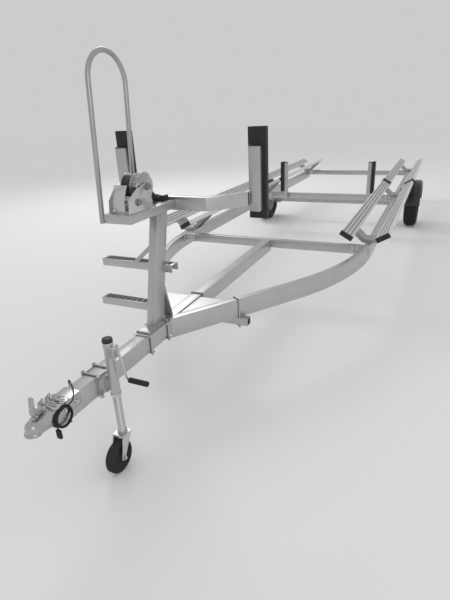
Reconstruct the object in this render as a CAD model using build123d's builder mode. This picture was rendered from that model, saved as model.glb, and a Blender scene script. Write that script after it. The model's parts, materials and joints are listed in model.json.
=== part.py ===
from build123d import *
import os
from math import asin, atan2, cos, hypot, pi, radians, sin, sqrt, tan

# Boat trailer for a twin-hull boat: an aluminium frame of box tubes on one sprung axle,
# resting on its two road wheels and the caster of its tongue jack.
# Millimetres. X points to the trailer's left, Y to its rear, Z up from the ground.

# Whole trailer
total_length = 8150
frame_top = 530
track = 2200
rail_to_tyre = 75.5

# Stations along the trailer
front_y = -total_length / 2
rear_y = total_length / 2
junction_y = front_y + 900
cross_tube_y = junction_y + 590
front_cross_y = junction_y + 2030
mid_cross_y = junction_y + 4465
rear_cross_y = rear_y - 355
axle_y = junction_y + 5100

# Side rails: a slanting run off the tongue, one long bend, then straight to the rear
rail_width = 51
rail_height = 127
rail_wall = 5
rail_angle = 34
rail_bend_radius = 2100
bend_rear_y = junction_y + 2150
rail_rear_y = rear_cross_y + 60

# Tongue beam, from the coupler to the front crossmember
tongue_width = 76
tongue_height = 102
tongue_wall = 5
tongue_front_y = front_y + 125

# Crossmembers between the rails, and the tube clamped below the front of the frame
cross_width = 51
cross_height = 76
cross_wall = 4
cross_tube_size = 51
cross_tube_overhang = 55
angle_leg = 100
angle_thickness = 6
gusset_length = 300
gusset_thickness = 6
gusset_drop = 8

# U-bolts
rod_radius = 5
rod_clearance = 1
strap_thickness = 6
thread_length = 14
nut_height = 8
nut_radius = 9

# Winch post and its foot
post_width = 51
post_depth = 102
post_wall = 5
post_lean = 14
post_base_y = junction_y + 69
foot_y = junction_y + 40
foot_length = 228
foot_margin = 14
foot_thickness = 8
brace_width = 38
brace_thickness = 10
brace_height = 230
brace_reach = 62
brace_web = 5
brace_web_low = 60
brace_web_front = 32

# Boarding steps behind the post, on the trailer's right
step_right_end = 435
step_depth = 70
step_height = 45
step_wall = 4
# Height of each step's top over the tongue, and how far its left end lies left of the middle
steps = ((95, -20), (331, 65))
step_strip_width = 25
step_strip_thickness = 5
step_strip_foot = 185
step_strip_rise = 170


# Winch platform and hand hoop
platform_height = 684
platform_left = 50
platform_right = 115
platform_front_y = junction_y - 100
platform_depth = 45
platform_wall = 5
hoop_radius = 142.5
hoop_tube_radius = 12.7
hoop_leg = 652
hoop_lean = 4.6
hoop_centre_y = junction_y + 44

# Bow bar, its pads and the stop on its middle
bow_bar_y = junction_y + 360
bow_bar_rise = 16
bow_bar_width = 51
bow_bar_height = 76
bow_bar_wall = 4
bow_bar_bend_x = 235
bow_bar_sweep = 46
pad_post_x = 455
pad_post_width = 64
pad_post_depth = 51
pad_post_wall = 4
pad_post_bottom = 590
pad_post_top = 950
pad_width = 110
pad_thickness = 38
pad_bottom = 540
pad_top = 1050
pad_round = 6
stop_width = 76
stop_depth = 55
stop_height = 30
stop_centre_x = -32

# Winch
winch_left = 42
winch_right = 105
winch_plate = 5
drum_rise = 113
drum_y = junction_y + 86
drum_core_radius = 20
drum_flange_radius = 68
drum_flange_thickness = 3
strap_width = 50
strap_roll_radius = 55
strap_centre_x = -47
gear_radius = 74
gear_thickness = 6
gear_x = 24
gear_teeth = 48
tooth_depth = 5
shaft_radius = 8
shaft_gap = 0.4
strap_thickness_flat = 3

# Guide posts on the middle crossmember
guide_post_x = 573
guide_post_size = 51
guide_post_top = 425
guide_post_wall = 4
guide_pad_bottom = 30
guide_pad_top = 435

# Bunk boards: two per rail, tilted to a cradle, each in a front and a rear length
bunk_width = 110
bunk_thickness = 38
bunk_wall = 4
bunk_tilt = 30
bunk_gap = 88
bunk_low_edge = 126
bunk_ribs = 11
rib_depth = 2
bunk_front_y = junction_y + 1800
bunk_splice_y = junction_y + 4650
cap_length = 14
splice_length = 30
cap_margin = 2

# Saddles that carry the boards on the rails
saddle_length = 150
saddle_plate = 6
saddle_base = 120
saddle_centre = 30
saddle_tip = 18
saddle_ys = (junction_y + 2200, mid_cross_y, rear_cross_y)

# Axle, springs and hangers
axle_size = 51
axle_end = 45
spindle_radius = 14
spindle_gap = 0.4
leaf_width = 45
leaf_thickness = 7
leaf_halves = (330, 235, 145)
spring_rise = 22
spring_pad = 6
eye_radius = 14
eye_gap = 6
hanger_plate = 6

# Road wheels
tyre_radius = 305
tyre_width = 178
bead_radius = 165
rim_width = 114
rim_flange = 13
rim_wall = 4
bead_gap = 0.3
disc_radius = 140
disc_thickness = 6
hub_bore_radius = 34
lug_circle = 114.3
lug_count = 5
window_count = 5
window_radius = 17
window_circle = 208
hub_face = 0
hub_flange_radius = 70
hub_flange_thickness = 12
hub_barrel_radius = 38
hub_nose_radius = 32
dust_cap_radius = 25
stud_radius = 6
lug_nut_radius = 11

# Fenders
fender_clearance = 25
fender_thickness = 4
fender_width = 220
fender_lip = 30
fender_round = 22
fender_slope = 50
fender_skirt = 115
fender_arc = 170
fender_foot_y = 250
fender_foot_height = 60

# Coupler
coupler_wall = 5
coupler_sleeve = 150
coupler_height = 65
ball_radius = 25.4
ball_gap = 0.6
ball_drop = 32
dome_wall = 7

# Safety chains, bolted to the coupler's right side and laid over its top
link_length = 38
link_width = 26
link_rod = 5
link_pitch = 24
link_corner = 8
link_gap = 0.6
hook_length = 56
hook_width = 34
# Each chain's station and how many degrees it turns to the rear on the coupler's top
chains = ((junction_y - 762, -5), (junction_y - 720, 11))
chain_hanging = 2

# Wiring: its gland, the cable over the tongue, the coil that hangs on the left, the plug
cable_radius = 3
gland_radius = 8
gland_length = 17
# Route from the gland: left of the tongue's middle, behind the junction, over the frame's top
cable_route = (
    (-50, -575, -48),
    (-64, -576, -34),
    (-66, -581, -2),
    (-46, -592, 24),
    (-12, -612, 7),
    (22, -640, 11),
    (48, -668, 13),
    (62, -690, 2),
    (54, -699, -23),
)
coil_x = 52.5
coil_y = junction_y - 745
coil_drop = 50
coil_radius = 46.5
coil_thickness = 13
coil_width = 16
plug_drop = 38
plug_length = 42
plug_width = 24
plug_thickness = 11

# Tongue jack
jack_y = junction_y - 460
jack_x = 102
jack_pivot_drop = 51
jack_plate = 8
jack_plate_length = 110
jack_plate_height = 110
swivel_radius = 45
swivel_gap = 0.5
jack_tube_radius = 24
jack_tube_wall = 4
jack_tube_top = 180
jack_tube_bottom = 110
jack_cap = 20
leg_radius = 20
leg_gap = 0.5
leg_top = 50
caster_radius = 85
caster_width = 50
caster_trail = 55
caster_gap = 3
fork_plate = 5
fork_crown = 30
crank_drop = 165
crank_reach = 16
grip_length = 105
grip_radius = 12.5

# Tail lights and tie-down eyes
light_width = 150
light_height = 80
light_depth = 45
light_inset = 150
eye_plate = 10
eye_hole_radius = 13
eye_plate_size = 60

# Worked-out places
wheel_x = track / 2
rail_half = rail_width / 2
rail_spacing = track - tyre_width - 2 * rail_to_tyre - rail_width
rail_x = rail_spacing / 2
light_x = rail_x - light_inset
tongue_half = tongue_width / 2
turn = radians(rail_angle)
lean = radians(post_lean)
tilt = radians(bunk_tilt)
platform_top = frame_top + platform_height
bow_bar_top = platform_top + bow_bar_rise
drum_z = platform_top + drum_rise
axle_z = tyre_radius
fender_radius = tyre_radius + fender_clearance
jack_pivot_z = frame_top - jack_pivot_drop
cross_tube_top = frame_top - rail_height


def front_view(y):
    # A plane that faces forward: local X is X, local Y is Z
    return Plane(origin=(0, y, 0), x_dir=(1, 0, 0), z_dir=(0, -1, 0))


def side_view(x):
    # A plane that faces left: local X is Y, local Y is Z
    return Plane(origin=(x, 0, 0), x_dir=(0, 1, 0), z_dir=(1, 0, 0))


def top_view(z):
    return Plane.XY.offset(z)


def hollow_rectangle(width, height, wall):
    with BuildSketch() as section:
        Rectangle(width, height)
        Rectangle(width - 2 * wall, height - 2 * wall, mode=Mode.SUBTRACT)
    return section.sketch


def rail_edge(outward, end_y):
    # One side of the left rail, at a distance outward from its centreline:
    # front end on the tongue's side, both ends and middle of the bend, rear end
    radius = rail_bend_radius + outward
    centre_x = rail_x - rail_bend_radius
    bend = []
    for angle in (turn, turn / 2, 0):
        bend.append((centre_x + radius * cos(angle), bend_rear_y - radius * sin(angle)))
    front = (tongue_half, bend[0][1] - (bend[0][0] - tongue_half) / tan(turn))
    return [front, *bend, (rail_x + outward, end_y)]


def rail_outline(half_width, end_y):
    inner = rail_edge(-half_width, end_y)
    outer = rail_edge(half_width, end_y)
    with BuildSketch() as outline:
        with BuildLine():
            for side in (inner, outer):
                Line(side[0], side[1])
                ThreePointArc(side[1], side[2], side[3])
                Line(side[3], side[4])
            Line(inner[0], outer[0])
            Line(inner[4], outer[4])
        make_face()
    return outline.sketch


def rail_inner_x(y):
    # The left rail's inner face at a station in the bend or behind it
    radius = rail_bend_radius - rail_half
    return rail_x - rail_bend_radius + sqrt(radius**2 - max(bend_rear_y - y, 0) ** 2)


def rail_centre_x(y):
    # The left rail's centreline at a station ahead of the bend
    inner, outer = rail_edge(-rail_half, rail_rear_y), rail_edge(rail_half, rail_rear_y)
    start_x = (inner[1][0] + outer[1][0]) / 2
    start_y = (inner[1][1] + outer[1][1]) / 2
    return start_x - (start_y - y) * tan(turn)


def mitred_strip(points, half_width):
    # Outline of an open polyline widened to both sides, with mitred corners
    sides = ([], [])
    for index, (x, y) in enumerate(points):
        before = points[max(index - 1, 0)]
        after = points[min(index + 1, len(points) - 1)]
        normals = []
        for (ax, ay), (bx, by) in (((before, (x, y))), ((x, y), after)):
            length = hypot(bx - ax, by - ay)
            if length > 0:
                normals.append(((ay - by) / length, (bx - ax) / length))
        nx = sum(n[0] for n in normals) / len(normals)
        ny = sum(n[1] for n in normals) / len(normals)
        reach = half_width / (nx * nx + ny * ny)
        sides[0].append((x + nx * reach, y + ny * reach))
        sides[1].append((x - nx * reach, y - ny * reach))
    return sides[0] + sides[1][::-1]


def polygon_sketch(points):
    with BuildSketch() as outline:
        with BuildLine():
            Polyline(*points, close=True)
        make_face()
    return outline.sketch


def u_bolt(plane, half_width, top, bottom):
    # A bent rod over a member, its two nuts, and the strap below that it draws up
    leg_x = half_width + rod_clearance + rod_radius
    rod_top = top + rod_clearance + rod_radius
    leg_end = bottom - strap_thickness - thread_length
    with BuildPart() as bolt:
        with BuildLine(plane) as path:
            FilletPolyline(
                (-leg_x, leg_end),
                (-leg_x, rod_top),
                (leg_x, rod_top),
                (leg_x, leg_end),
                radius=rod_radius + rod_clearance,
            )
        with BuildSketch(Plane(origin=path.line @ 0, z_dir=path.line % 0)):
            Circle(rod_radius)
        sweep(path=path.line)
        strap_plane = Plane(origin=plane.from_local_coords((0, bottom - strap_thickness, 0)),
                            x_dir=plane.x_dir, z_dir=(0, 0, 1))
        with BuildSketch(strap_plane):
            Rectangle(2 * leg_x + 4 * rod_radius, 6 * rod_radius)
        extrude(amount=strap_thickness)
        nut_plane = Plane(origin=plane.from_local_coords((0, bottom - strap_thickness, 0)),
                          x_dir=plane.x_dir, z_dir=(0, 0, -1))
        with BuildSketch(nut_plane):
            with Locations((-leg_x, 0), (leg_x, 0)):
                RegularPolygon(nut_radius, 6)
        extrude(amount=nut_height)
    return bolt.part


def save(part, label):
    part.label = label
    export_step(part, "parts/" + label + ".step")


os.makedirs("parts", exist_ok=True)

# Tongue beam
tongue_middle_z = frame_top - tongue_height / 2
tongue_rear_y = front_cross_y - cross_width / 2
with BuildPart() as tongue_beam:
    with BuildSketch(front_view(tongue_rear_y)):
        with Locations((0, tongue_middle_z)):
            add(hollow_rectangle(tongue_width, tongue_height, tongue_wall))
    extrude(amount=tongue_rear_y - tongue_front_y)
save(tongue_beam.part, "tongue_beam")

# Side rails
with BuildPart() as rail_left:
    with BuildSketch(top_view(frame_top - rail_height)):
        add(rail_outline(rail_half, rail_rear_y))
    extrude(amount=rail_height)
    with BuildSketch(top_view(frame_top - rail_height + rail_wall)):
        add(rail_outline(rail_half - rail_wall, rail_rear_y))
    extrude(amount=rail_height - 2 * rail_wall, mode=Mode.SUBTRACT)
save(rail_left.part, "rail_left")

with BuildPart() as rail_right:
    mirror(rail_left.part, about=Plane.YZ)
save(rail_right.part, "rail_right")

# Gussets in the two corners between tongue and rails
gusset_apex = rail_edge(-rail_half, rail_rear_y)[0]
gusset_end_y = gusset_apex[1] + gusset_length
gusset_end_x = tongue_half + gusset_length * tan(turn)
with BuildPart() as junction_gussets:
    with BuildSketch(top_view(frame_top - gusset_drop - gusset_thickness)) as gusset:
        add(polygon_sketch([gusset_apex, (gusset_end_x, gusset_end_y), (tongue_half, gusset_end_y)]))
        mirror(about=Plane.YZ)
    extrude(amount=gusset_thickness)
save(junction_gussets.part, "junction_gussets")

# Cross tube clamped below the rails, with a spacer up to the tongue beam
clamp_x = rail_centre_x(cross_tube_y)
cross_tube_half = clamp_x + rail_half / cos(turn) + cross_tube_overhang
rail_clamp_plane = Plane(
    origin=(clamp_x, cross_tube_y, 0), x_dir=(cos(turn), -sin(turn), 0), z_dir=(-sin(turn), -cos(turn), 0)
)
rail_leg = rail_half + rod_clearance + rod_radius
tongue_leg = tongue_half + rod_clearance + rod_radius
clamp_holes = [(tongue_leg, 0), (-tongue_leg, 0)]
for side in (1, -1):
    for leg in (rail_leg, -rail_leg):
        clamp_holes.append((side * (clamp_x + leg * cos(turn)), -leg * sin(turn)))
with BuildPart() as cross_tube:
    with BuildSketch(side_view(-cross_tube_half)):
        with Locations((cross_tube_y, cross_tube_top - cross_tube_size / 2)):
            add(hollow_rectangle(cross_tube_size, cross_tube_size, cross_wall))
    extrude(amount=2 * cross_tube_half)
    with BuildSketch(top_view(cross_tube_top)):
        with Locations((0, cross_tube_y)):
            Rectangle(tongue_width, cross_tube_size)
    extrude(amount=rail_height - tongue_height)
    with BuildSketch(top_view(cross_tube_top)):
        with Locations((0, cross_tube_y)):
            with Locations(*clamp_holes):
                Circle(rod_radius + rod_clearance)
    extrude(amount=-cross_tube_size, mode=Mode.SUBTRACT)
save(cross_tube.part, "cross_tube")

# Crossmembers between the rails
for label, station in (
    ("crossmember_front", front_cross_y),
    ("crossmember_mid", mid_cross_y),
    ("crossmember_rear", rear_cross_y),
):
    cross_half = rail_inner_x(station - cross_width / 2)
    with BuildPart() as crossmember:
        with BuildSketch(side_view(-cross_half)):
            with Locations((station, frame_top - cross_height / 2)):
                add(hollow_rectangle(cross_width, cross_height, cross_wall))
        extrude(amount=2 * cross_half)
    save(crossmember.part, label)

# Angle brackets that join the crossmembers to the rails
with BuildPart() as crossmember_brackets:
    with BuildSketch(top_view(frame_top - cross_height)):
        for station in (front_cross_y, mid_cross_y, rear_cross_y):
            face_y = station - cross_width / 2
            corner_x = rail_inner_x(face_y - angle_leg / 2)
            add(
                polygon_sketch([
                    (corner_x, face_y),
                    (corner_x - angle_leg, face_y),
                    (corner_x - angle_leg, face_y - angle_thickness),
                    (corner_x - angle_thickness, face_y - angle_thickness),
                    (corner_x - angle_thickness, face_y - angle_leg / 2),
                    (corner_x, face_y - angle_leg / 2),
                ])
            )
        mirror(about=Plane.YZ)
    extrude(amount=cross_height)
save(crossmember_brackets.part, "crossmember_brackets")

# U-bolts round the rails and the tongue at the cross tube
clamp_bottom = cross_tube_top - cross_tube_size
with BuildPart() as frame_u_bolts:
    rail_clamp = u_bolt(rail_clamp_plane, rail_half, frame_top, clamp_bottom)
    add(rail_clamp)
    mirror(rail_clamp, about=Plane.YZ)
    add(u_bolt(front_view(cross_tube_y), tongue_half, frame_top, clamp_bottom))
save(frame_u_bolts.part, "frame_u_bolts")

# Foot of the winch post: a plate on the tongue, with its U-bolts
foot_bolt_inset = 22
with BuildPart() as post_foot:
    with BuildSketch(top_view(frame_top)):
        with Locations((0, foot_y)):
            Rectangle(2 * (tongue_leg + foot_margin), foot_length)
            with GridLocations(2 * tongue_leg, foot_length - 2 * foot_bolt_inset, 2, 2):
                Circle(rod_radius + rod_clearance, mode=Mode.SUBTRACT)
    extrude(amount=foot_thickness)
save(post_foot.part, "post_foot")

with BuildPart() as foot_u_bolts:
    for side in (-1, 1):
        station = foot_y + side * (foot_length / 2 - foot_bolt_inset)
        add(u_bolt(front_view(station), tongue_half, frame_top + foot_thickness, frame_top - tongue_height))
save(foot_u_bolts.part, "foot_u_bolts")


def post_centre_y(z):
    return post_base_y + (z - frame_top) * tan(lean)


# Winch post
post_bottom = frame_top + foot_thickness
post_top = platform_top - platform_wall
post_half_y = post_depth / 2 / cos(lean)
with BuildPart() as winch_post:
    with BuildSketch(top_view(post_bottom)):
        with Locations((0, post_centre_y(post_bottom))):
            Rectangle(post_width, 2 * post_half_y)
            Rectangle(
                post_width - 2 * post_wall, 2 * post_half_y - 2 * post_wall / cos(lean), mode=Mode.SUBTRACT
            )
    extrude(amount=(post_top - post_bottom) / cos(lean), dir=(0, sin(lean), cos(lean)))
save(winch_post.part, "winch_post")

# Brace from the back of the post down to the tongue
brace_top_z = frame_top + brace_height
brace_top_y = post_centre_y(brace_top_z) + post_half_y
brace_low_y = brace_top_y + brace_reach
brace_drop = brace_thickness * hypot(brace_reach, brace_height) / brace_height
with BuildPart() as post_brace:
    with BuildSketch(side_view(-brace_width / 2)):
        add(
            polygon_sketch([
                (brace_top_y, brace_top_z),
                (brace_low_y, frame_top),
                (brace_low_y - brace_drop, frame_top),
                (
                    post_centre_y(brace_top_z - 2 * brace_drop) + post_half_y,
                    brace_top_z - 2 * brace_drop,
                ),
            ])
        )
    extrude(amount=brace_width)
    with BuildSketch(side_view(-brace_width / 2)):
        add(
            polygon_sketch([
                (post_centre_y(brace_top_z - brace_drop) + post_half_y, brace_top_z - brace_drop),
                (brace_low_y - brace_drop / 2, frame_top),
                (brace_low_y - brace_drop - brace_web_front, frame_top),
                (
                    post_centre_y(frame_top + brace_web_low) + post_half_y,
                    frame_top + brace_web_low,
                ),
            ])
        )
    extrude(amount=brace_web)
save(post_brace.part, "post_brace")

# Boarding steps: channels open below, welded to the back of the post
with BuildPart() as boarding_steps:
    for height, left_end in steps:
        step_top = frame_top + height
        step_front_y = post_centre_y(step_top) + post_half_y
        with BuildSketch(side_view(-step_right_end)):
            with Locations((step_front_y + step_depth / 2, step_top - step_height / 2)):
                Rectangle(step_depth, step_height)
            with Locations((step_front_y + step_depth / 2, step_top - step_height / 2 - step_wall)):
                Rectangle(step_depth - 2 * step_wall, step_height, mode=Mode.SUBTRACT)
        extrude(amount=step_right_end + left_end)
save(boarding_steps.part, "boarding_steps")

# Flat strip from the post down to the upper step
strip_foot_z = frame_top + steps[1][0]
strip_rise = step_strip_rise / cos(lean)
strip_half_x = step_strip_width / 2 / sin(atan2(strip_rise, step_strip_foot))
strip_plane = Plane(
    origin=(0, post_centre_y(strip_foot_z) + post_half_y, strip_foot_z),
    x_dir=(1, 0, 0),
    z_dir=(0, -cos(lean), sin(lean)),
)
with BuildPart() as step_strip:
    with BuildSketch(strip_plane):
        add(
            polygon_sketch([
                (-step_strip_foot - strip_half_x, 0),
                (-step_strip_foot + strip_half_x, 0),
                (strip_half_x, strip_rise),
                (-strip_half_x, strip_rise),
            ])
        )
    extrude(amount=-step_strip_thickness)
    split(bisect_by=top_view(strip_foot_z), keep=Keep.TOP)
save(step_strip.part, "step_strip")

# Winch platform: a channel open below, with a closed front
bow_bar_front_y = bow_bar_y - bow_bar_width / 2
platform_length = bow_bar_front_y - platform_front_y
platform_centre = ((platform_left - platform_right) / 2, platform_front_y + platform_length / 2)
platform_width = platform_left + platform_right
with BuildPart() as winch_platform:
    with BuildSketch(top_view(platform_top - platform_depth)):
        with Locations(platform_centre):
            Rectangle(platform_width, platform_length)
    extrude(amount=platform_depth)
    with BuildSketch(top_view(platform_top - platform_depth)):
        with Locations((platform_centre[0], platform_centre[1] + platform_wall)):
            Rectangle(platform_width - 2 * platform_wall, platform_length, mode=Mode.ADD)
    extrude(amount=platform_depth - platform_wall, mode=Mode.SUBTRACT)
save(winch_platform.part, "winch_platform")

# Hand hoop on the platform's right side
hoop_x = -platform_right - hoop_tube_radius
hoop_angle = radians(hoop_lean)
platform_under = platform_top - platform_depth
hoop_plane = Plane(
    origin=(hoop_x, hoop_centre_y, platform_under), x_dir=(0, cos(hoop_angle), -sin(hoop_angle)), z_dir=(1, 0, 0)
)
with BuildPart() as hand_hoop:
    with BuildLine(hoop_plane) as path:
        Line((-hoop_radius, -platform_depth), (-hoop_radius, hoop_leg))
        ThreePointArc((-hoop_radius, hoop_leg), (0, hoop_leg + hoop_radius), (hoop_radius, hoop_leg))
        Line((hoop_radius, hoop_leg), (hoop_radius, -platform_depth))
    with BuildSketch(Plane(origin=path.line @ 0, z_dir=path.line % 0)):
        Circle(hoop_tube_radius)
    sweep(path=path.line)
    split(bisect_by=top_view(platform_under), keep=Keep.TOP)
save(hand_hoop.part, "hand_hoop")

# Bow bar: a tube across the platform's rear end, its ends swept back to the pads
sweep_angle = radians(bow_bar_sweep)
bar_end_x = pad_post_x - pad_post_width / 2
bar_far = 2 * bar_end_x
bar_far_y = bow_bar_y + (bar_far - bow_bar_bend_x) * tan(sweep_angle)
bar_line = [(-bar_far, bar_far_y), (-bow_bar_bend_x, bow_bar_y), (bow_bar_bend_x, bow_bar_y), (bar_far, bar_far_y)]
bar_end_y = bow_bar_y + (bar_end_x - bow_bar_bend_x) * tan(sweep_angle)
with BuildPart() as bow_bar:
    with BuildSketch(top_view(bow_bar_top - bow_bar_height)):
        add(polygon_sketch(mitred_strip(bar_line, bow_bar_width / 2)))
    extrude(amount=bow_bar_height)
    with BuildSketch(top_view(bow_bar_top - bow_bar_height + bow_bar_wall)):
        add(polygon_sketch(mitred_strip(bar_line, bow_bar_width / 2 - bow_bar_wall)))
    extrude(amount=bow_bar_height - 2 * bow_bar_wall, mode=Mode.SUBTRACT)
    split(bisect_by=Plane.YZ.offset(bar_end_x), keep=Keep.BOTTOM)
    split(bisect_by=Plane.YZ.offset(-bar_end_x), keep=Keep.TOP)
save(bow_bar.part, "bow_bar")

# Posts that carry the tall bow pads
pad_post_y = bar_end_y + bow_bar_width / 2 / cos(sweep_angle) - pad_post_depth / 2
with BuildPart() as bow_pad_posts:
    with BuildSketch(top_view(frame_top + pad_post_bottom)):
        with Locations((-pad_post_x, pad_post_y), (pad_post_x, pad_post_y)):
            add(hollow_rectangle(pad_post_width, pad_post_depth, pad_post_wall))
    extrude(amount=pad_post_top - pad_post_bottom)
save(bow_pad_posts.part, "bow_pad_posts")

# Tall bow pads
pad_y = pad_post_y + pad_post_depth / 2 + pad_thickness / 2
with BuildPart() as bow_pads:
    with BuildSketch(top_view(frame_top + pad_bottom)):
        with Locations((-pad_post_x, pad_y), (pad_post_x, pad_y)):
            RectangleRounded(pad_width, pad_thickness, pad_round)
    extrude(amount=pad_top - pad_bottom)
save(bow_pads.part, "bow_pads")

# Rubber bow stop on the platform, ahead of the bar
stop_left = stop_centre_x + stop_width / 2
stop_right = stop_centre_x - stop_width / 2
with BuildPart() as bow_stop:
    with BuildSketch(front_view(bow_bar_front_y)):
        add(
            polygon_sketch([
                (stop_right, platform_top),
                (stop_left, platform_top),
                (stop_left, platform_top + stop_height),
                (stop_centre_x, platform_top + 0.7 * stop_height),
                (stop_right, platform_top + stop_height),
            ])
        )
    extrude(amount=stop_depth)
save(bow_stop.part, "bow_stop")

# Winch frame: a base and two side plates with the drive shaft between them
# Outlines of the side plates, as distance behind the drum's axis and height over the platform
left_plate_outline = [(-176, 0), (-168, 72), (-100, 110), (-34, 131), (6, 134), (26, 116), (24, 0)]
right_plate_outline = [(-150, 0), (-140, 62), (-84, 118), (0, 136), (40, 122), (66, 60), (60, 0)]
# The guard's profile, as distance behind the drum's axis and height over the platform
guard_profile = [(-120, 2), (-118, 48), (-94, 104), (-80, 128)]
guard_sheet = 3
guard_left = 26
shaft_y = drum_y - gear_radius - 3 * shaft_radius
shaft_z = platform_top + 50
with BuildPart() as winch_frame:
    with BuildSketch(top_view(platform_top)):
        with Locations(((winch_left - winch_right) / 2, drum_y - 45)):
            Rectangle(winch_left + winch_right, 210)
    extrude(amount=winch_plate)
    for start_x, outline in ((winch_left - winch_plate, left_plate_outline), (-winch_right, right_plate_outline)):
        with BuildSketch(side_view(start_x)) as plate:
            add(polygon_sketch([(drum_y + y, platform_top + z) for y, z in outline]))
            fillet(plate.vertices().group_by(Axis.Y)[-1], 12)
            with Locations((drum_y, drum_z)):
                Circle(shaft_radius + shaft_gap, mode=Mode.SUBTRACT)
        extrude(amount=winch_plate)
    with BuildSketch(side_view(-winch_right - winch_plate)):
        with Locations((shaft_y, shaft_z)):
            Circle(shaft_radius)
    extrude(amount=winch_left + winch_right + 2 * winch_plate)
    # Sheet guard ahead of the drum, from the base to beside the drum's front
    with BuildSketch(side_view(-winch_right)):
        guard_line = [(drum_y + y, platform_top + z) for y, z in guard_profile]
        add(polygon_sketch(mitred_strip(guard_line, guard_sheet / 2)))
    extrude(amount=winch_right - guard_left)
save(winch_frame.part, "winch_frame")

# Winch drum with its flanges, gear and shaft
with BuildPart() as winch_drum:
    with BuildSketch(side_view(-winch_right - winch_plate)):
        with Locations((drum_y, drum_z)):
            Circle(shaft_radius)
    extrude(amount=winch_left + winch_right + 2 * winch_plate)
    flange_inner = strap_width / 2 + 1
    with BuildSketch(side_view(strap_centre_x - flange_inner)):
        with Locations((drum_y, drum_z)):
            Circle(drum_core_radius)
    extrude(amount=gear_x - strap_centre_x + flange_inner)
    for start_x in (strap_centre_x - flange_inner - drum_flange_thickness, strap_centre_x + flange_inner):
        with BuildSketch(side_view(start_x)):
            with Locations((drum_y, drum_z)):
                Circle(drum_flange_radius)
        extrude(amount=drum_flange_thickness)
    with BuildSketch(side_view(gear_x)):
        with Locations((drum_y, drum_z)):
            Circle(gear_radius - tooth_depth)
            with PolarLocations(gear_radius - tooth_depth, gear_teeth):
                Rectangle(2 * tooth_depth, 0.45 * tooth_depth)
    extrude(amount=gear_thickness)
save(winch_drum.part, "winch_drum")

with BuildPart() as strap_roll:
    with BuildSketch(side_view(strap_centre_x - strap_width / 2)):
        with Locations((drum_y, drum_z)):
            Circle(strap_roll_radius)
            Circle(drum_core_radius, mode=Mode.SUBTRACT)
    extrude(amount=strap_width)
save(strap_roll.part, "strap_roll")

# Free end of the strap, from over the roll to the bow stop
tail_start = (drum_y + strap_roll_radius * 0.72, drum_z + strap_roll_radius * 0.82)
tail_end = (bow_bar_front_y - stop_depth - strap_thickness_flat, platform_top + stop_height / 2)
with BuildPart() as strap_tail:
    with BuildSketch(side_view(strap_centre_x - strap_width / 2)):
        add(polygon_sketch(mitred_strip([tail_start, tail_end], strap_thickness_flat / 2)))
    extrude(amount=strap_width)
save(strap_tail.part, "strap_tail")

# Guide posts on the front of the middle crossmember, and their pads
guide_y = mid_cross_y - cross_width / 2 - guide_post_size / 2
with BuildPart() as guide_posts:
    with BuildSketch(top_view(frame_top - cross_height)):
        with Locations((-guide_post_x, guide_y), (guide_post_x, guide_y)):
            add(hollow_rectangle(guide_post_size, guide_post_size, guide_post_wall))
    extrude(amount=cross_height + guide_post_top)
save(guide_posts.part, "guide_posts")

guide_pad_x = guide_post_x + guide_post_size / 2 + pad_thickness / 2
with BuildPart() as guide_pads:
    with BuildSketch(top_view(frame_top + guide_pad_bottom)):
        with Locations((-guide_pad_x, guide_y), (guide_pad_x, guide_y)):
            RectangleRounded(pad_thickness, pad_width, pad_round)
    extrude(amount=guide_pad_top - guide_pad_bottom)
save(guide_pads.part, "guide_pads")


def bunk_plane(y):
    # Section of the left rail's outer board: the origin is its low top edge
    return Plane(
        origin=(rail_x + bunk_gap, y, frame_top + bunk_low_edge),
        x_dir=(cos(tilt), 0, sin(tilt)),
        z_dir=(0, -1, 0),
    )


# Bunk boards: hollow planks with a ribbed top
rib_pitch = bunk_width / bunk_ribs
with BuildPart() as bunk_boards_left:
    for start_y, end_y in (
        (bunk_front_y + cap_length, bunk_splice_y - splice_length / 2),
        (bunk_splice_y + splice_length / 2, rear_y),
    ):
        with BuildSketch(bunk_plane(end_y)):
            with Locations((bunk_width / 2, -bunk_thickness / 2)):
                add(hollow_rectangle(bunk_width, bunk_thickness, bunk_wall + rib_depth))
                with Locations((0, bunk_thickness / 2)):
                    with GridLocations(rib_pitch, 1, bunk_ribs - 1, 1):
                        Rectangle(rib_pitch / 2, 2 * rib_depth, mode=Mode.SUBTRACT)
        extrude(amount=end_y - start_y)
    mirror(about=Plane.YZ.offset(rail_x))
save(bunk_boards_left.part, "bunk_boards_left")

with BuildPart() as bunk_boards_right:
    mirror(bunk_boards_left.part, about=Plane.YZ)
save(bunk_boards_right.part, "bunk_boards_right")

# Black caps on the boards' front ends and at their splices, and plugs in the rails
with BuildPart() as end_caps:
    for start_y, length in (
        (bunk_front_y, cap_length),
        (bunk_splice_y - splice_length / 2, splice_length),
    ):
        with BuildSketch(bunk_plane(start_y + length)):
            with Locations((bunk_width / 2, -bunk_thickness / 2)):
                RectangleRounded(bunk_width + 2 * cap_margin, bunk_thickness + 2 * cap_margin, 2 * cap_margin)
        extrude(amount=length)
    mirror(about=Plane.YZ.offset(rail_x))
    with BuildSketch(front_view(rail_rear_y + rail_wall)):
        with Locations((rail_x, frame_top - rail_height / 2)):
            Rectangle(rail_width, rail_height)
    extrude(amount=rail_wall)
    mirror(about=Plane.YZ)
save(end_caps.part, "end_caps")

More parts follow.
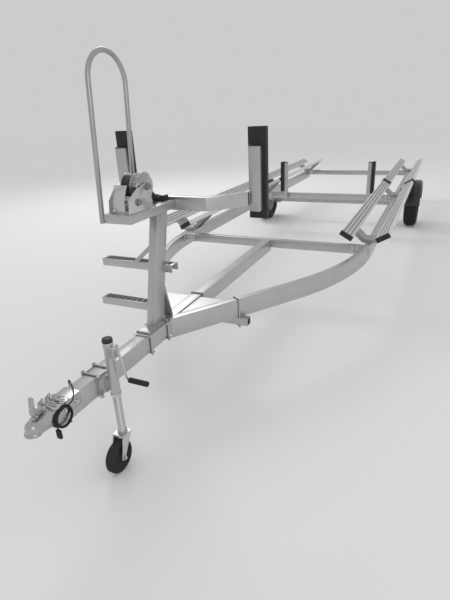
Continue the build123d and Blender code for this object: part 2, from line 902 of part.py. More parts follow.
# Saddles: a folded plate on the rail whose two arms lie under the boards
board_under_low = (bunk_gap + bunk_thickness * sin(tilt), bunk_low_edge - bunk_thickness * cos(tilt))
board_under_high = (
    board_under_low[0] + bunk_width * cos(tilt),
    board_under_low[1] + bunk_width * sin(tilt),
)
arm_top = [(saddle_base / 3, saddle_centre), board_under_low, board_under_high]
arm_bottom = [(board_under_high[0], board_under_high[1] - saddle_tip), (saddle_base / 2, 0)]
saddle_half = [(0, saddle_centre), *arm_top, *arm_bottom, (0, 0)]


def saddle_outline(drop):
    points = [(rail_x + x, frame_top + z - drop) for x, z in saddle_half]
    with BuildSketch() as outline:
        add(polygon_sketch(points))
        mirror(about=Plane.YZ.offset(rail_x))
    return outline.sketch


with BuildPart() as bunk_saddles:
    for station in saddle_ys:
        with BuildSketch(front_view(station + saddle_length / 2)):
            add(saddle_outline(0))
        extrude(amount=saddle_length)
    for station in saddle_ys:
        with BuildSketch(front_view(station + saddle_length / 2 - saddle_plate)):
            add(saddle_outline(saddle_plate))
        extrude(amount=saddle_length - 2 * saddle_plate, mode=Mode.SUBTRACT)
    for station in saddle_ys:
        with BuildSketch(top_view(frame_top)):
            with Locations((rail_x, station)):
                Rectangle(saddle_base, saddle_length)
        extrude(amount=saddle_plate)
    mirror(about=Plane.YZ)
save(bunk_saddles.part, "bunk_saddles")

# Axle: a square tube with a spindle at each end
axle_half = wheel_x - tyre_width / 2 - axle_end + 25
hub_inner_x = axle_half + 12
hub_face_x = wheel_x + hub_face
spindle_end_x = hub_face_x + 45
with BuildPart() as axle_beam:
    with BuildSketch(side_view(-axle_half)):
        with Locations((axle_y, axle_z)):
            Rectangle(axle_size, axle_size)
    extrude(amount=2 * axle_half)
    with BuildSketch(side_view(-spindle_end_x)):
        with Locations((axle_y, axle_z)):
            Circle(spindle_radius)
    extrude(amount=2 * spindle_end_x)
save(axle_beam.part, "axle_beam")

# Leaf springs over the axle, with rolled eyes and the plates that clamp them to it
spring_low_z = axle_z + axle_size / 2 + spring_pad
main_half = leaf_halves[0]
main_low_z = spring_low_z + leaf_thickness * (len(leaf_halves) - 1)
spring_radius = (main_half**2 + spring_rise**2) / (2 * spring_rise)
spring_centre_z = main_low_z + spring_radius
eye_z = main_low_z + spring_rise + leaf_thickness / 2


def leaf_outline(half, outer_radius):
    # A leaf as a ring segment about the spring's centre of curvature
    points = []
    for radius in (outer_radius, outer_radius - leaf_thickness):
        angle = asin(half / radius)
        for share in (-1, 0, 1):
            points.append((axle_y + radius * sin(share * angle), spring_centre_z - radius * cos(share * angle)))
    with BuildSketch() as outline:
        with BuildLine():
            ThreePointArc(points[0], points[1], points[2])
            Line(points[2], points[5])
            ThreePointArc(points[5], points[4], points[3])
            Line(points[3], points[0])
        make_face()
    return outline.sketch


with BuildPart() as leaf_springs:
    with BuildSketch(side_view(rail_x - leaf_width / 2)):
        for index, half in enumerate(leaf_halves):
            add(leaf_outline(half, spring_radius + index * leaf_thickness))
        with Locations((axle_y - main_half, eye_z), (axle_y + main_half, eye_z)):
            Circle(eye_radius)
        with Locations((axle_y, spring_low_z - spring_pad / 2 + leaf_thickness / 4)):
            Rectangle(2 * axle_size, spring_pad + leaf_thickness / 2)
    extrude(amount=leaf_width)
    with BuildSketch(side_view(rail_x - leaf_width / 2)):
        with Locations((axle_y - main_half, eye_z), (axle_y + main_half, eye_z)):
            Circle(eye_radius / 2)
    extrude(amount=leaf_width, mode=Mode.SUBTRACT)
    mirror(about=Plane.YZ)
save(leaf_springs.part, "leaf_springs")

# Spring hangers: a forked bracket below the rail at each eye, with its bolt
hanger_top = frame_top - rail_height
hanger_inner = leaf_width / 2 + 2
with BuildPart() as spring_hangers:
    for eye_y in (axle_y - main_half, axle_y + main_half):
        for cheek_x in (rail_x - hanger_inner - hanger_plate, rail_x + hanger_inner):
            with BuildSketch(side_view(cheek_x)):
                with BuildLine():
                    Line((eye_y - 35, hanger_top), (eye_y + 35, hanger_top))
                    Line((eye_y + 35, hanger_top), (eye_y + eye_radius, eye_z))
                    ThreePointArc(
                        (eye_y + eye_radius, eye_z), (eye_y, eye_z - eye_radius), (eye_y - eye_radius, eye_z)
                    )
                    Line((eye_y - eye_radius, eye_z), (eye_y - 35, hanger_top))
                make_face()
            extrude(amount=hanger_plate)
        with BuildSketch(top_view(hanger_top - hanger_plate)):
            with Locations((rail_x, eye_y)):
                Rectangle(2 * (hanger_inner + hanger_plate), 70)
        extrude(amount=hanger_plate)
        with BuildSketch(side_view(rail_x - hanger_inner - hanger_plate - 8)):
            with Locations((eye_y, eye_z)):
                Circle(eye_radius / 2 - 0.5)
        extrude(amount=2 * (hanger_inner + hanger_plate + 8))
    mirror(about=Plane.YZ)
save(spring_hangers.part, "spring_hangers")


def wheel_section():
    # A half plane through the left wheel's axis: local X is X from the wheel's middle, local Y its radius
    return Plane(origin=(wheel_x, axle_y, axle_z), x_dir=(1, 0, 0), z_dir=(0, -1, 0))


wheel_axis = Axis((wheel_x, axle_y, axle_z), (1, 0, 0))
bead_x = rim_width / 2
tread_x = 0.68 * tyre_width / 2
shoulder_x = 0.84 * tyre_width / 2

# Tyre
with BuildPart() as tyre:
    with BuildSketch(wheel_section()):
        with BuildLine():
            Line((-bead_x + bead_gap, bead_radius + bead_gap), (bead_x - bead_gap, bead_radius + bead_gap))
            for side in (-1, 1):
                bead_top = bead_radius + rim_flange + 2 * bead_gap
                Line((side * (bead_x - bead_gap), bead_radius + bead_gap), (side * (bead_x - bead_gap), bead_top))
                Line((side * (bead_x - bead_gap), bead_top), (side * (bead_x + rim_wall), bead_top))
                ThreePointArc(
                    (side * (bead_x + rim_wall), bead_top),
                    (side * tyre_width / 2, (bead_top + tyre_radius) / 2 - 5),
                    (side * shoulder_x, tyre_radius - 14),
                )
                ThreePointArc(
                    (side * shoulder_x, tyre_radius - 14),
                    (side * (shoulder_x + tread_x) / 2, tyre_radius - 7),
                    (side * tread_x, tyre_radius - 4),
                )
            ThreePointArc((-tread_x, tyre_radius - 4), (0, tyre_radius), (tread_x, tyre_radius - 4))
        make_face()
    revolve(axis=wheel_axis)

# Rim: a drop-centre barrel and a windowed disc
with BuildPart() as rim:
    with BuildSketch(wheel_section()):
        barrel_line = [
            (-bead_x - rim_wall / 2, bead_radius + rim_flange),
            (-bead_x - rim_wall / 2, bead_radius - rim_wall / 2),
            (-bead_x * 0.62, bead_radius - rim_wall / 2),
            (-bead_x * 0.45, disc_radius + rim_wall / 2),
            (bead_x * 0.45, disc_radius + rim_wall / 2),
            (bead_x * 0.62, bead_radius - rim_wall / 2),
            (bead_x + rim_wall / 2, bead_radius - rim_wall / 2),
            (bead_x + rim_wall / 2, bead_radius + rim_flange),
        ]
        add(polygon_sketch(mitred_strip(barrel_line, rim_wall / 2)))
        disc_line = [
            (hub_face + disc_thickness / 2, hub_bore_radius),
            (hub_face + disc_thickness / 2, 76),
            (hub_face + 16, 92),
            (hub_face + 16, 112),
            (hub_face, disc_radius + rim_wall / 2),
        ]
        add(polygon_sketch(mitred_strip(disc_line, disc_thickness / 2)))
    revolve(axis=wheel_axis)
    with BuildSketch(side_view(wheel_x - 30)):
        with Locations((axle_y, axle_z)):
            with PolarLocations(lug_circle / 2, lug_count, start_angle=90):
                Circle(stud_radius + 1)
            with PolarLocations(window_circle / 2, window_count, start_angle=90 + 180 / window_count):
                Circle(window_radius)
    extrude(amount=60, mode=Mode.SUBTRACT)

# Hub with its studs, nuts and dust cap, bored for the spindle
with BuildPart() as hub:
    with BuildSketch(wheel_section()):
        inner_x = hub_inner_x - wheel_x
        with BuildLine():
            Polyline(
                (inner_x, spindle_radius + spindle_gap),
                (inner_x, hub_barrel_radius),
                (hub_face - hub_flange_thickness, hub_barrel_radius),
                (hub_face - hub_flange_thickness, hub_flange_radius),
                (hub_face, hub_flange_radius),
                (hub_face, hub_nose_radius),
                (hub_face + 34, hub_nose_radius),
                (hub_face + 34, dust_cap_radius),
                (hub_face + 62, dust_cap_radius),
                (hub_face + 66, dust_cap_radius - 8),
                (hub_face + 66, 0),
                (hub_face + 50, 0),
                (hub_face + 50, spindle_radius + spindle_gap),
                close=True,
            )
        make_face()
    revolve(axis=wheel_axis)
    with BuildSketch(side_view(hub_face_x - 1)):
        with Locations((axle_y, axle_z)):
            with PolarLocations(lug_circle / 2, lug_count, start_angle=90):
                Circle(stud_radius)
    extrude(amount=disc_thickness + 30)
    with BuildSketch(side_view(hub_face_x + disc_thickness)):
        with Locations((axle_y, axle_z)):
            with PolarLocations(lug_circle / 2, lug_count, start_angle=90):
                RegularPolygon(lug_nut_radius, 6)
    extrude(amount=20)

for name, piece in (("tyre", tyre), ("rim", rim), ("hub", hub)):
    save(piece.part, name + "_left")
    with BuildPart() as opposite:
        mirror(piece.part, about=Plane.YZ)
    save(opposite.part, name + "_right")

# Fenders: a rounded arch with an inner skirt
fender_start = (180 - fender_arc) / 2
fender_rad = radians(fender_start)
fender_plane = Plane(
    origin=(wheel_x, axle_y, axle_z), x_dir=(1, 0, 0), z_dir=(0, -sin(fender_rad), cos(fender_rad))
)
fender_in = -fender_width / 2
fender_out = fender_width / 2
with BuildPart() as fenders:
    with BuildSketch(fender_plane) as section:
        arch_line = [
            (fender_in + fender_thickness / 2, fender_radius - fender_skirt),
            (fender_in + fender_thickness / 2, fender_radius - fender_slope),
            (fender_in + 1.4 * fender_slope, fender_radius + fender_thickness / 2),
            (fender_out - fender_round, fender_radius + fender_thickness / 2),
            (fender_out - fender_thickness / 2, fender_radius - fender_round),
            (fender_out - fender_thickness / 2, fender_radius - fender_round - fender_lip),
        ]
        add(polygon_sketch(mitred_strip(arch_line, fender_thickness / 2)))
    revolve(axis=wheel_axis, revolution_arc=fender_arc)
    mirror(about=Plane.YZ)
save(fenders.part, "fenders")

# Fender brackets from the rails to the skirts
skirt_x = wheel_x + fender_in
bracket_bottom = frame_top - rail_height + 25
with BuildPart() as fender_brackets:
    for side in (-1, 1):
        with BuildSketch(side_view(rail_x + rail_half)):
            with Locations((axle_y + side * fender_foot_y, bracket_bottom + fender_foot_height / 2)):
                add(hollow_rectangle(40, fender_foot_height, 5))
        extrude(amount=skirt_x - rail_x - rail_half)
    mirror(about=Plane.YZ)
save(fender_brackets.part, "fender_brackets")

# Coupler: a sleeve over the tongue's end that narrows to the ball socket
dome_radius = ball_radius + ball_gap + dome_wall
ball_y = front_y + dome_radius
ball_z = frame_top - ball_drop
sleeve_half = tongue_half + coupler_wall
sleeve_top = frame_top + coupler_wall
sleeve_front_y = tongue_front_y - 12
with BuildPart() as coupler:
    with BuildSketch(front_view(tongue_front_y + coupler_sleeve)):
        with Locations((0, sleeve_top - coupler_height / 2)):
            Rectangle(2 * sleeve_half, coupler_height)
    extrude(amount=coupler_sleeve + tongue_front_y - sleeve_front_y)
    with BuildSketch(top_view(sleeve_top - coupler_height)):
        with BuildLine():
            Line((sleeve_half, sleeve_front_y), (dome_radius, ball_y))
            ThreePointArc((dome_radius, ball_y), (0, ball_y - dome_radius), (-dome_radius, ball_y))
            Line((-dome_radius, ball_y), (-sleeve_half, sleeve_front_y))
            Line((-sleeve_half, sleeve_front_y), (sleeve_half, sleeve_front_y))
        make_face()
    extrude(amount=ball_z - sleeve_top + coupler_height)
    with Locations((0, ball_y, ball_z)):
        Sphere(dome_radius)
    neck_x = 0.6 * dome_radius
    neck_z = ball_z + 0.8 * dome_radius
    with BuildSketch(front_view(ball_y)):
        add(polygon_sketch([(dome_radius, ball_z), (neck_x, neck_z), (-neck_x, neck_z), (-dome_radius, ball_z)]))
    with BuildSketch(front_view(sleeve_front_y)):
        add(
            polygon_sketch([
                (sleeve_half, ball_z), (sleeve_half, sleeve_top), (-sleeve_half, sleeve_top), (-sleeve_half, ball_z)
            ])
        )
    loft(ruled=True)
    with BuildSketch(front_view(tongue_front_y + coupler_sleeve)):
        with Locations((0, frame_top - tongue_height / 2)):
            Rectangle(tongue_width, tongue_height)
    extrude(amount=coupler_sleeve, mode=Mode.SUBTRACT)
    with BuildSketch(top_view(ball_z - dome_radius)):
        with Locations((0, ball_y)):
            Circle(ball_radius + ball_gap)
    extrude(amount=dome_radius, mode=Mode.SUBTRACT)
    with Locations((0, ball_y, ball_z)):
        Sphere(ball_radius + ball_gap, mode=Mode.SUBTRACT)
save(coupler.part, "coupler")

# Latch lever standing on the coupler's top, with the ears that it turns between
latch_lever = [(14, 0), (4, 24), (16, 92), (27, 96), (30, 86), (25, 44), (44, 22), (62, 16), (62, 0)]
latch_half = 8
with BuildPart() as coupler_latch:
    with BuildSketch(side_view(-latch_half)) as lever:
        add(polygon_sketch([(ball_y + y, sleeve_top + z) for y, z in latch_lever]))
        fillet(lever.vertices().group_by(Axis.Y)[-1], 4)
    extrude(amount=2 * latch_half)
save(coupler_latch.part, "coupler_latch")

# Safety chains: eight-sided links, each turned to the one before, over the coupler's edge
link_rest = (link_width - link_rod) / sqrt(8) + link_rod / 2 + link_gap
link_reach = link_length / 2 - link_pitch / 2


def eight_sides(length, width, corner):
    x, y = length / 2, width / 2
    return [
        (x, y - corner), (x - corner, y), (corner - x, y), (-x, y - corner),
        (-x, corner - y), (corner - x, -y), (x - corner, -y), (x, corner - y),
    ]


def link_ring(length, width):
    with BuildSketch() as ring:
        add(polygon_sketch(eight_sides(length, width, link_corner)))
        add(polygon_sketch(eight_sides(length - 2 * link_rod, width - 2 * link_rod, link_corner / 2)), mode=Mode.SUBTRACT)
    return ring.sketch


def chain_joints(station, heading):
    # Where links meet: up the right side, over the edge, then along the top
    out = (link_rest + link_pitch / 2) / sqrt(2)
    rise = (link_rest - link_pitch / 2) / sqrt(2)
    joints = [(-sleeve_half - out, station, sleeve_top + rise - link_pitch * index) for index in range(chain_hanging, -1, -1)]
    joints.append((-sleeve_half - rise, station, sleeve_top + out))
    joints.append((-sleeve_half - rise + link_pitch, station, sleeve_top + out))
    x, y, z = joints[-1]
    level = sqrt(link_pitch**2 - (out - link_rest) ** 2)
    joints.append((x + level * cos(heading), y + level * sin(heading), z - out + link_rest))
    return [Vector(*joint) for joint in joints]


def link_plane(joint, way, offset, roll):
    # Origin a distance on from a joint: local X runs along the chain, turned about it by the roll
    across = Vector(-way.Y, way.X, 0).normalized() if abs(way.Z) < 0.99 else Vector(0, 1, 0)
    normal = way.cross(across)
    return Plane(origin=joint + way * offset, x_dir=way, z_dir=normal * cos(roll) + across * sin(roll))


with BuildPart() as safety_chains:
    for station, turned in chains:
        joints = chain_joints(station, radians(turned))
        for index, (joint, following) in enumerate(zip(joints, joints[1:])):
            roll = radians(90 * (index % 2) - min(22.5 * index, 45))
            with BuildSketch(link_plane(joint, (following - joint).normalized(), link_pitch / 2, roll)):
                add(link_ring(link_length, link_width))
            extrude(amount=link_rod / 2, both=True)
        drop = (link_rest - link_rod / 2 - link_gap) / (hook_length - link_reach)
        hook_way = Vector(cos(radians(turned)), sin(radians(turned)), -drop).normalized()
        with BuildSketch(link_plane(joints[-1], hook_way, hook_length / 2 - link_reach, 0)):
            add(link_ring(hook_length, hook_width))
            with Locations((hook_length / 8, hook_width / 2)):
                Rectangle(hook_length / 4, 3 * link_rod, mode=Mode.SUBTRACT)
        extrude(amount=link_rod / 2, both=True)
        hang_x = sleeve_half + (link_rest + link_pitch / 2) / sqrt(2) + link_rod
        bolt_z = joints[0].Z + link_reach - link_rod + rod_radius
        for radius, start_x, length in ((rod_radius, sleeve_half, hang_x - sleeve_half), (nut_radius, hang_x, nut_height)):
            with BuildSketch(side_view(-start_x)):
                with Locations((station, bolt_z)):
                    RegularPolygon(radius, 6)
            extrude(amount=-length)
save(safety_chains.part, "safety_chains")

# Wiring: a gland that points up and out, the cable, its coil and its plug
cable_points = [(x, junction_y + y, frame_top + z) for x, y, z in cable_route]
cable_radii = []
for before, here, after in zip(cable_points, cable_points[1:], cable_points[2:]):
    run_in, run_out = Vector(*here) - Vector(*before), Vector(*after) - Vector(*here)
    bend = radians(run_in.get_angle(run_out))
    cable_radii.append(0.45 * min(run_in.length, run_out.length) / tan(bend / 2))
print("cable radii", [round(radius, 1) for radius in cable_radii])
with BuildPart() as wiring_gland:
    gland_end = Vector(*cable_points[0])
    gland_way = (Vector(*cable_points[1]) - gland_end).normalized()
    with BuildSketch(Plane(origin=gland_end - gland_way * gland_length, z_dir=gland_way)):
        Circle(gland_radius)
    extrude(amount=gland_length, taper=8)
    split(bisect_by=Plane.YZ.offset(-tongue_half), keep=Keep.BOTTOM)
save(wiring_gland.part, "wiring_gland")

coil_z = frame_top - coil_drop
plug_y = coil_y - coil_radius
plug_top = coil_z - plug_drop
lead_top = coil_z - sqrt((coil_radius + coil_thickness / 2) ** 2 - coil_radius**2)
with BuildPart() as wiring_cable:
    with BuildLine() as path:
        FilletPolyline(*cable_points, radius=cable_radii)
    with BuildSketch(Plane(origin=path.line @ 0, z_dir=path.line % 0)):
        Circle(cable_radius)
    sweep(path=path.line)
    with BuildSketch(top_view(plug_top)):
        with Locations((coil_x, plug_y)):
            Circle(cable_radius)
    extrude(amount=lead_top - plug_top)
save(wiring_cable.part, "wiring_cable")
cable_length = sum(edge.length for edge in path.edges()) + lead_top - plug_top
print("cable volume over section times length", wiring_cable.part.volume / (pi * cable_radius**2 * cable_length))

with BuildPart() as wiring_coil:
    with BuildSketch(side_view(coil_x - coil_width / 2)):
        with Locations((coil_y, coil_z)):
            Circle(coil_radius + coil_thickness / 2)
            Circle(coil_radius - coil_thickness / 2, mode=Mode.SUBTRACT)
    extrude(amount=coil_width)
save(wiring_coil.part, "wiring_coil")

with BuildPart() as wiring_plug:
    with BuildSketch(top_view(plug_top)):
        with Locations((coil_x, plug_y)):
            Rectangle(plug_width, plug_thickness)
    extrude(amount=-plug_length)
save(wiring_plug.part, "wiring_plug")

# Jack bracket: a plate on the tongue's left side with a round boss, clamped by rods
boss_thickness = 12
boss_x = tongue_half + jack_plate
swivel_x = boss_x + boss_thickness + swivel_gap
with BuildPart() as jack_bracket:
    with BuildSketch(side_view(tongue_half)):
        with Locations((jack_y, tongue_middle_z)):
            Rectangle(jack_plate_length, jack_plate_height)
    extrude(amount=jack_plate)
    with BuildSketch(side_view(boss_x)):
        with Locations((jack_y, jack_pivot_z)):
            Circle(swivel_radius)
    extrude(amount=boss_thickness)
    with BuildSketch(side_view(-tongue_half - jack_plate)):
        with Locations((jack_y, tongue_middle_z)):
            Rectangle(jack_plate_length, jack_plate_height)
    extrude(amount=jack_plate)
    for bolt_y in (jack_y - 40, jack_y + 40):
        for bolt_z in (frame_top + rod_radius + rod_clearance, frame_top - tongue_height - rod_radius - rod_clearance):
            with BuildSketch(side_view(-boss_x - nut_height)):
                with Locations((bolt_y, bolt_z)):
                    Circle(rod_radius)
            extrude(amount=2 * (boss_x + nut_height))
save(jack_bracket.part, "jack_bracket")

# Jack tube: the part that swings up, with its swivel disc, gear housing and cap
tube_top = frame_top + jack_tube_top
tube_bottom = frame_top - jack_tube_bottom
with BuildPart() as jack_tube:
    with BuildSketch(top_view(tube_bottom)):
        with Locations((jack_x, jack_y)):
            Circle(jack_tube_radius)
    extrude(amount=tube_top - tube_bottom)
    with BuildSketch(side_view(swivel_x)):
        with Locations((jack_y, jack_pivot_z)):
            Circle(swivel_radius)
    extrude(amount=8)
    with BuildSketch(side_view(swivel_x)):
        with Locations((jack_y, jack_pivot_z)):
            Rectangle(30, 60)
    extrude(amount=jack_x - swivel_x)
    with BuildSketch(side_view(jack_x)):
        with Locations((jack_y, tube_top - 45)):
            RectangleRounded(46, 64, 8)
    extrude(amount=jack_tube_radius + 16)
    with BuildSketch(top_view(tube_top - jack_tube_wall)):
        with Locations((jack_x, jack_y)):
            Circle(leg_radius + leg_gap)
    extrude(amount=tube_bottom - tube_top, mode=Mode.SUBTRACT)
save(jack_tube.part, "jack_tube")

with BuildPart() as jack_cap_piece:
    with BuildSketch(top_view(tube_top)):
        with Locations((jack_x, jack_y)):
            Circle(jack_tube_radius + 2)
    extrude(amount=jack_cap, taper=6)
save(jack_cap_piece.part, "jack_cap")

# Crank on the housing's side, arm hanging, with its grip
crank_shaft_x = jack_x + jack_tube_radius + 16
crank_z = tube_top - 45
arm_x = crank_shaft_x + crank_reach
with BuildPart() as jack_crank:
    with BuildLine() as path:
        FilletPolyline(
            (crank_shaft_x, jack_y, crank_z),
            (arm_x, jack_y, crank_z),
            (arm_x, jack_y + 30, crank_z - crank_drop),
            (arm_x + 14, jack_y + 30, crank_z - crank_drop),
            radius=9,
        )
    with BuildSketch(Plane(origin=path.line @ 0, z_dir=path.line % 0)):
        Circle(5.5)
    sweep(path=path.line)
    with BuildSketch(side_view(arm_x + 13)):
        with Locations((jack_y + 30, crank_z - crank_drop)):
            Circle(grip_radius)
    extrude(amount=grip_length)
save(jack_crank.part, "jack_crank")

# Inner leg, sliding in the tube
leg_bottom = caster_radius + caster_radius + fork_crown
with BuildPart() as jack_leg:
    with BuildSketch(top_view(leg_bottom)):
        with Locations((jack_x, jack_y)):
            Circle(leg_radius)
    extrude(amount=frame_top + leg_top - leg_bottom)
    with BuildSketch(top_view(leg_bottom)):
        with Locations((jack_x, jack_y)):
            Circle(leg_radius + 5)
    extrude(amount=10)
save(jack_leg.part, "jack_leg")

# Caster fork, trailing forward, with its axle bolt
fork_half = caster_width / 2 + caster_gap
caster_centre = (jack_x, jack_y - caster_trail, caster_radius)


def caster_plane(side_offset):
    # Faces along the caster's axle: local X is Y from the jack's middle, local Y is Z
    return Plane(origin=(jack_x + side_offset, jack_y, 0), x_dir=(0, 1, 0), z_dir=(1, 0, 0))


fork_top = leg_bottom - 1
with BuildPart() as jack_fork:
    for start in (-fork_half - fork_plate, fork_half):
        with BuildSketch(caster_plane(start)):
            with BuildLine():
                Line((30, fork_top), (-38, fork_top))
                Line((-38, fork_top), (-caster_trail - 16, caster_radius))
                ThreePointArc(
                    (-caster_trail - 16, caster_radius),
                    (-caster_trail, caster_radius - 16),
                    (-caster_trail + 16, caster_radius),
                )
                Line((-caster_trail + 16, caster_radius), (30, fork_top))
            make_face()
        extrude(amount=fork_plate)
    with BuildSketch(caster_plane(-fork_half)):
        with Locations((-4, fork_top - fork_plate / 2)):
            Rectangle(68, fork_plate)
    extrude(amount=2 * fork_half)
    with BuildSketch(caster_plane(-fork_half - fork_plate - 7)):
        with Locations((-caster_trail, caster_radius)):
            Circle(6)
    extrude(amount=2 * (fork_half + fork_plate + 7))
save(jack_fork.part, "jack_fork")

# Caster wheel
caster_wheel_plane = Plane(origin=caster_centre, x_dir=(1, 0, 0), z_dir=(0, -1, 0))
caster_axis = Axis(caster_centre, (1, 0, 0))
with BuildPart() as jack_wheel:
    with BuildSketch(caster_wheel_plane):
        with BuildLine():
            Polyline(
                (-caster_width / 2, 6.4),
                (-caster_width / 2, 22),
                (-caster_width / 2 + 10, 26),
                (-caster_width / 2 + 10, caster_radius - 24),
                (-caster_width / 2 + 2, caster_radius - 20),
                (-caster_width / 2 + 2, caster_radius - 8),
                (-caster_width / 2 + 10, caster_radius),
                (caster_width / 2 - 10, caster_radius),
                (caster_width / 2 - 2, caster_radius - 8),
                (caster_width / 2 - 2, caster_radius - 20),
                (caster_width / 2 - 10, caster_radius - 24),
                (caster_width / 2 - 10, 26),
                (caster_width / 2, 22),
                (caster_width / 2, 6.4),
                close=True,
            )
        make_face()
    revolve(axis=caster_axis)
save(jack_wheel.part, "jack_wheel")

# Tail lights on the rear crossmember
light_face_y = rear_cross_y + cross_width / 2
with BuildPart() as tail_lights:
    with BuildSketch(front_view(light_face_y + light_depth)):
        with Locations((-light_x, frame_top - cross_height / 2), (light_x, frame_top - cross_height / 2)):
            RectangleRounded(light_width, light_height, 12)
    extrude(amount=light_depth)
save(tail_lights.part, "tail_lights")

# Tie-down eyes: plates with a hole at the rails' rear ends
for label, side in (("tie_down_left", 1), ("tie_down_right", -1)):
    eye_x = side * (rail_x + rail_half) if side > 0 else side * (rail_x + rail_half) - eye_plate
    with BuildPart() as tie_down:
        with BuildSketch(side_view(eye_x)):
            with Locations((rail_rear_y - eye_plate_size / 2, frame_top - rail_height / 2)):
                RectangleRounded(eye_plate_size, 2 * eye_plate_size, 8)
            with Locations((rail_rear_y - eye_plate_size / 2, frame_top - rail_height - eye_plate_size / 6)):
                Circle(eye_hole_radius + 14)
                Circle(eye_hole_radius, mode=Mode.SUBTRACT)
        extrude(amount=eye_plate)
    save(tie_down.part, label)
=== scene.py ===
import bpy
import bmesh
import json
import math
from mathutils import Matrix, Vector


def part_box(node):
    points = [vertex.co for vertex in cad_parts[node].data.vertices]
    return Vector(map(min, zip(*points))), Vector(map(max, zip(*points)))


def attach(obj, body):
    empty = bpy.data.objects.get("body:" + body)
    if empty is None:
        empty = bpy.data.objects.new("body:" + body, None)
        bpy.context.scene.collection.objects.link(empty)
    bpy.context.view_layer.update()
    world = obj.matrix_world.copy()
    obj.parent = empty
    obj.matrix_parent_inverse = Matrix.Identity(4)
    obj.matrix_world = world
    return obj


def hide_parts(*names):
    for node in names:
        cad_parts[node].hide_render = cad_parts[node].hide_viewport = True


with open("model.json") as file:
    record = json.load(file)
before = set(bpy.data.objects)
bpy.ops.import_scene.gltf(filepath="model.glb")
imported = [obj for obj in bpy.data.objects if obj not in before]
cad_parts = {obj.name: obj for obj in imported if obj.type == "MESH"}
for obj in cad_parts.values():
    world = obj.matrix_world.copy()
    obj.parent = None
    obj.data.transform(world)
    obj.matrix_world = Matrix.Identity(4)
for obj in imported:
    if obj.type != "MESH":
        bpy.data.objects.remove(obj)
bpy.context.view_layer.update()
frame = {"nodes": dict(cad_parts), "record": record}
nodes = frame["nodes"]
print("frame loaded,", len(nodes), "nodes")

camera = {
    "place": (1.3961, -5.0428, 1.6670),
    "forward": (-0.4004, 0.8288, -0.3908),
    "right": (0.9080, 0.4163, -0.0476),
    "focalPixels": 445.5,
    "frameHeight": 600,
    "sensorHeight": 24,
    "farthest": 100,
}
lights = {
    "key": {"place": (-4.5, 3.5, 6.0), "aim": (0, -0.8, 0.5), "size": 3.0, "power": 130},
    "fill": {"place": (5.0, -7.5, 3.0), "aim": (0, -2.0, 0.6), "size": 3.5, "power": 45},
    "world": 0.60,
}
stage = {"size": 60, "seen": (1.0, 1.0, 0.99, 1), "unseen": (0.55, 0.55, 0.54, 1)}


class Wire:
    # a socket; sums and products of wires add Math nodes
    def __init__(self, finish, socket):
        self.finish, self.socket = finish, socket

    def sibling(self, name):
        return Wire(self.finish, self.socket.node.outputs[name])

    def maths(self, operation, *operands):
        return self.finish.node("ShaderNodeMath", {"operation": operation}, dict(enumerate(operands)))

    def applied(self, operation):
        return self.maths(operation, self)

    def larger(self, other):
        return self.maths("MAXIMUM", self, other)

    def __add__(self, other):
        return self.maths("ADD", self, other)

    def __sub__(self, other):
        return self.maths("SUBTRACT", self, other)

    def __rsub__(self, other):
        return self.maths("SUBTRACT", other, self)

    def __mul__(self, other):
        return self.maths("MULTIPLY", self, other)

    def __gt__(self, other):
        return self.maths("GREATER_THAN", self, other)

    __radd__ = __add__
    __rmul__ = __mul__


class Finish:
    # a material round one Principled shader
    def __init__(self, name, **values):
        self.material = bpy.data.materials.new(name)
        self.material.use_nodes = True
        self.tree = self.material.node_tree
        self.shader = self.tree.nodes["Principled BSDF"]
        for socket, value in values.items():
            self.shader.inputs[socket.replace("_", " ")].default_value = value
        self.place = self.node("ShaderNodeTexCoord", {}, {}, "Object")

    def node(self, kind, settings, inputs, output=0):
        new = self.tree.nodes.new(kind)
        for key, value in settings.items():
            setattr(new, key, value)
        for key, value in inputs.items():
            if isinstance(value, Wire):
                self.tree.links.new(value.socket, new.inputs[key])
            else:
                new.inputs[key].default_value = value
        return Wire(self, new.outputs[output])

    def mix(self, factor, first, second):
        return self.node("ShaderNodeMix", {"data_type": "RGBA"}, {0: factor, 6: first, 7: second}, 2)

    def stretched(self, scale, shift=(0, 0, 0)):
        return self.node("ShaderNodeMapping", {}, {"Vector": self.place, "Scale": scale, "Location": shift})

    def noise(self, scale, detail, vector=None, rough=0.55):
        return self.node(
            "ShaderNodeTexNoise", {},
            {"Vector": vector or self.place, "Scale": scale, "Detail": detail, "Roughness": rough},
        )

    def waves(self, direction, scale):
        return self.node(
            "ShaderNodeTexWave", {"bands_direction": direction}, {"Vector": self.place, "Scale": scale}
        )

    def bump(self, height, distance, strength):
        normal = self.node("ShaderNodeBump", {}, {"Height": height, "Distance": distance, "Strength": strength})
        self.tree.links.new(normal.socket, self.shader.inputs["Normal"])

    def drive(self, **wires):
        for socket, wire in wires.items():
            self.tree.links.new(wire.socket, self.shader.inputs[socket.replace("_", " ")])


def grey(level, warm=0.0):
    return (level * (1 + warm), level, level * (1 - warm), 1)


def millAluminium(name, along, base=0.56, rough=0.32):
    # extruded or sheared aluminium: die lines along its length, faint stains, small scratches
    acrossLines, alongLines, stainScale, scratchScale = 260.0, 2.5, 7.0, 900.0
    finish = Finish(name, Metallic=0.92)
    scale = [acrossLines] * 3
    scale["xyz".index(along)] = alongLines
    dieLines = finish.noise(1.0, 2.0, finish.stretched(scale))
    stains = finish.noise(stainScale, detail=5.0, rough=0.62)
    scratches = finish.noise(scratchScale, detail=1.0)
    tone = finish.mix(stains, grey(base * 0.86, 0.01), grey(base * 1.12, -0.008))
    tone = finish.mix(dieLines * 0.35, tone, grey(base * 0.8))
    finish.drive(Base_Color=tone, Roughness=rough - 0.1 + stains * 0.16 + dieLines * 0.1)
    finish.bump(dieLines * 0.6 + scratches * 0.25, 0.0004, 0.35)
    return finish.material


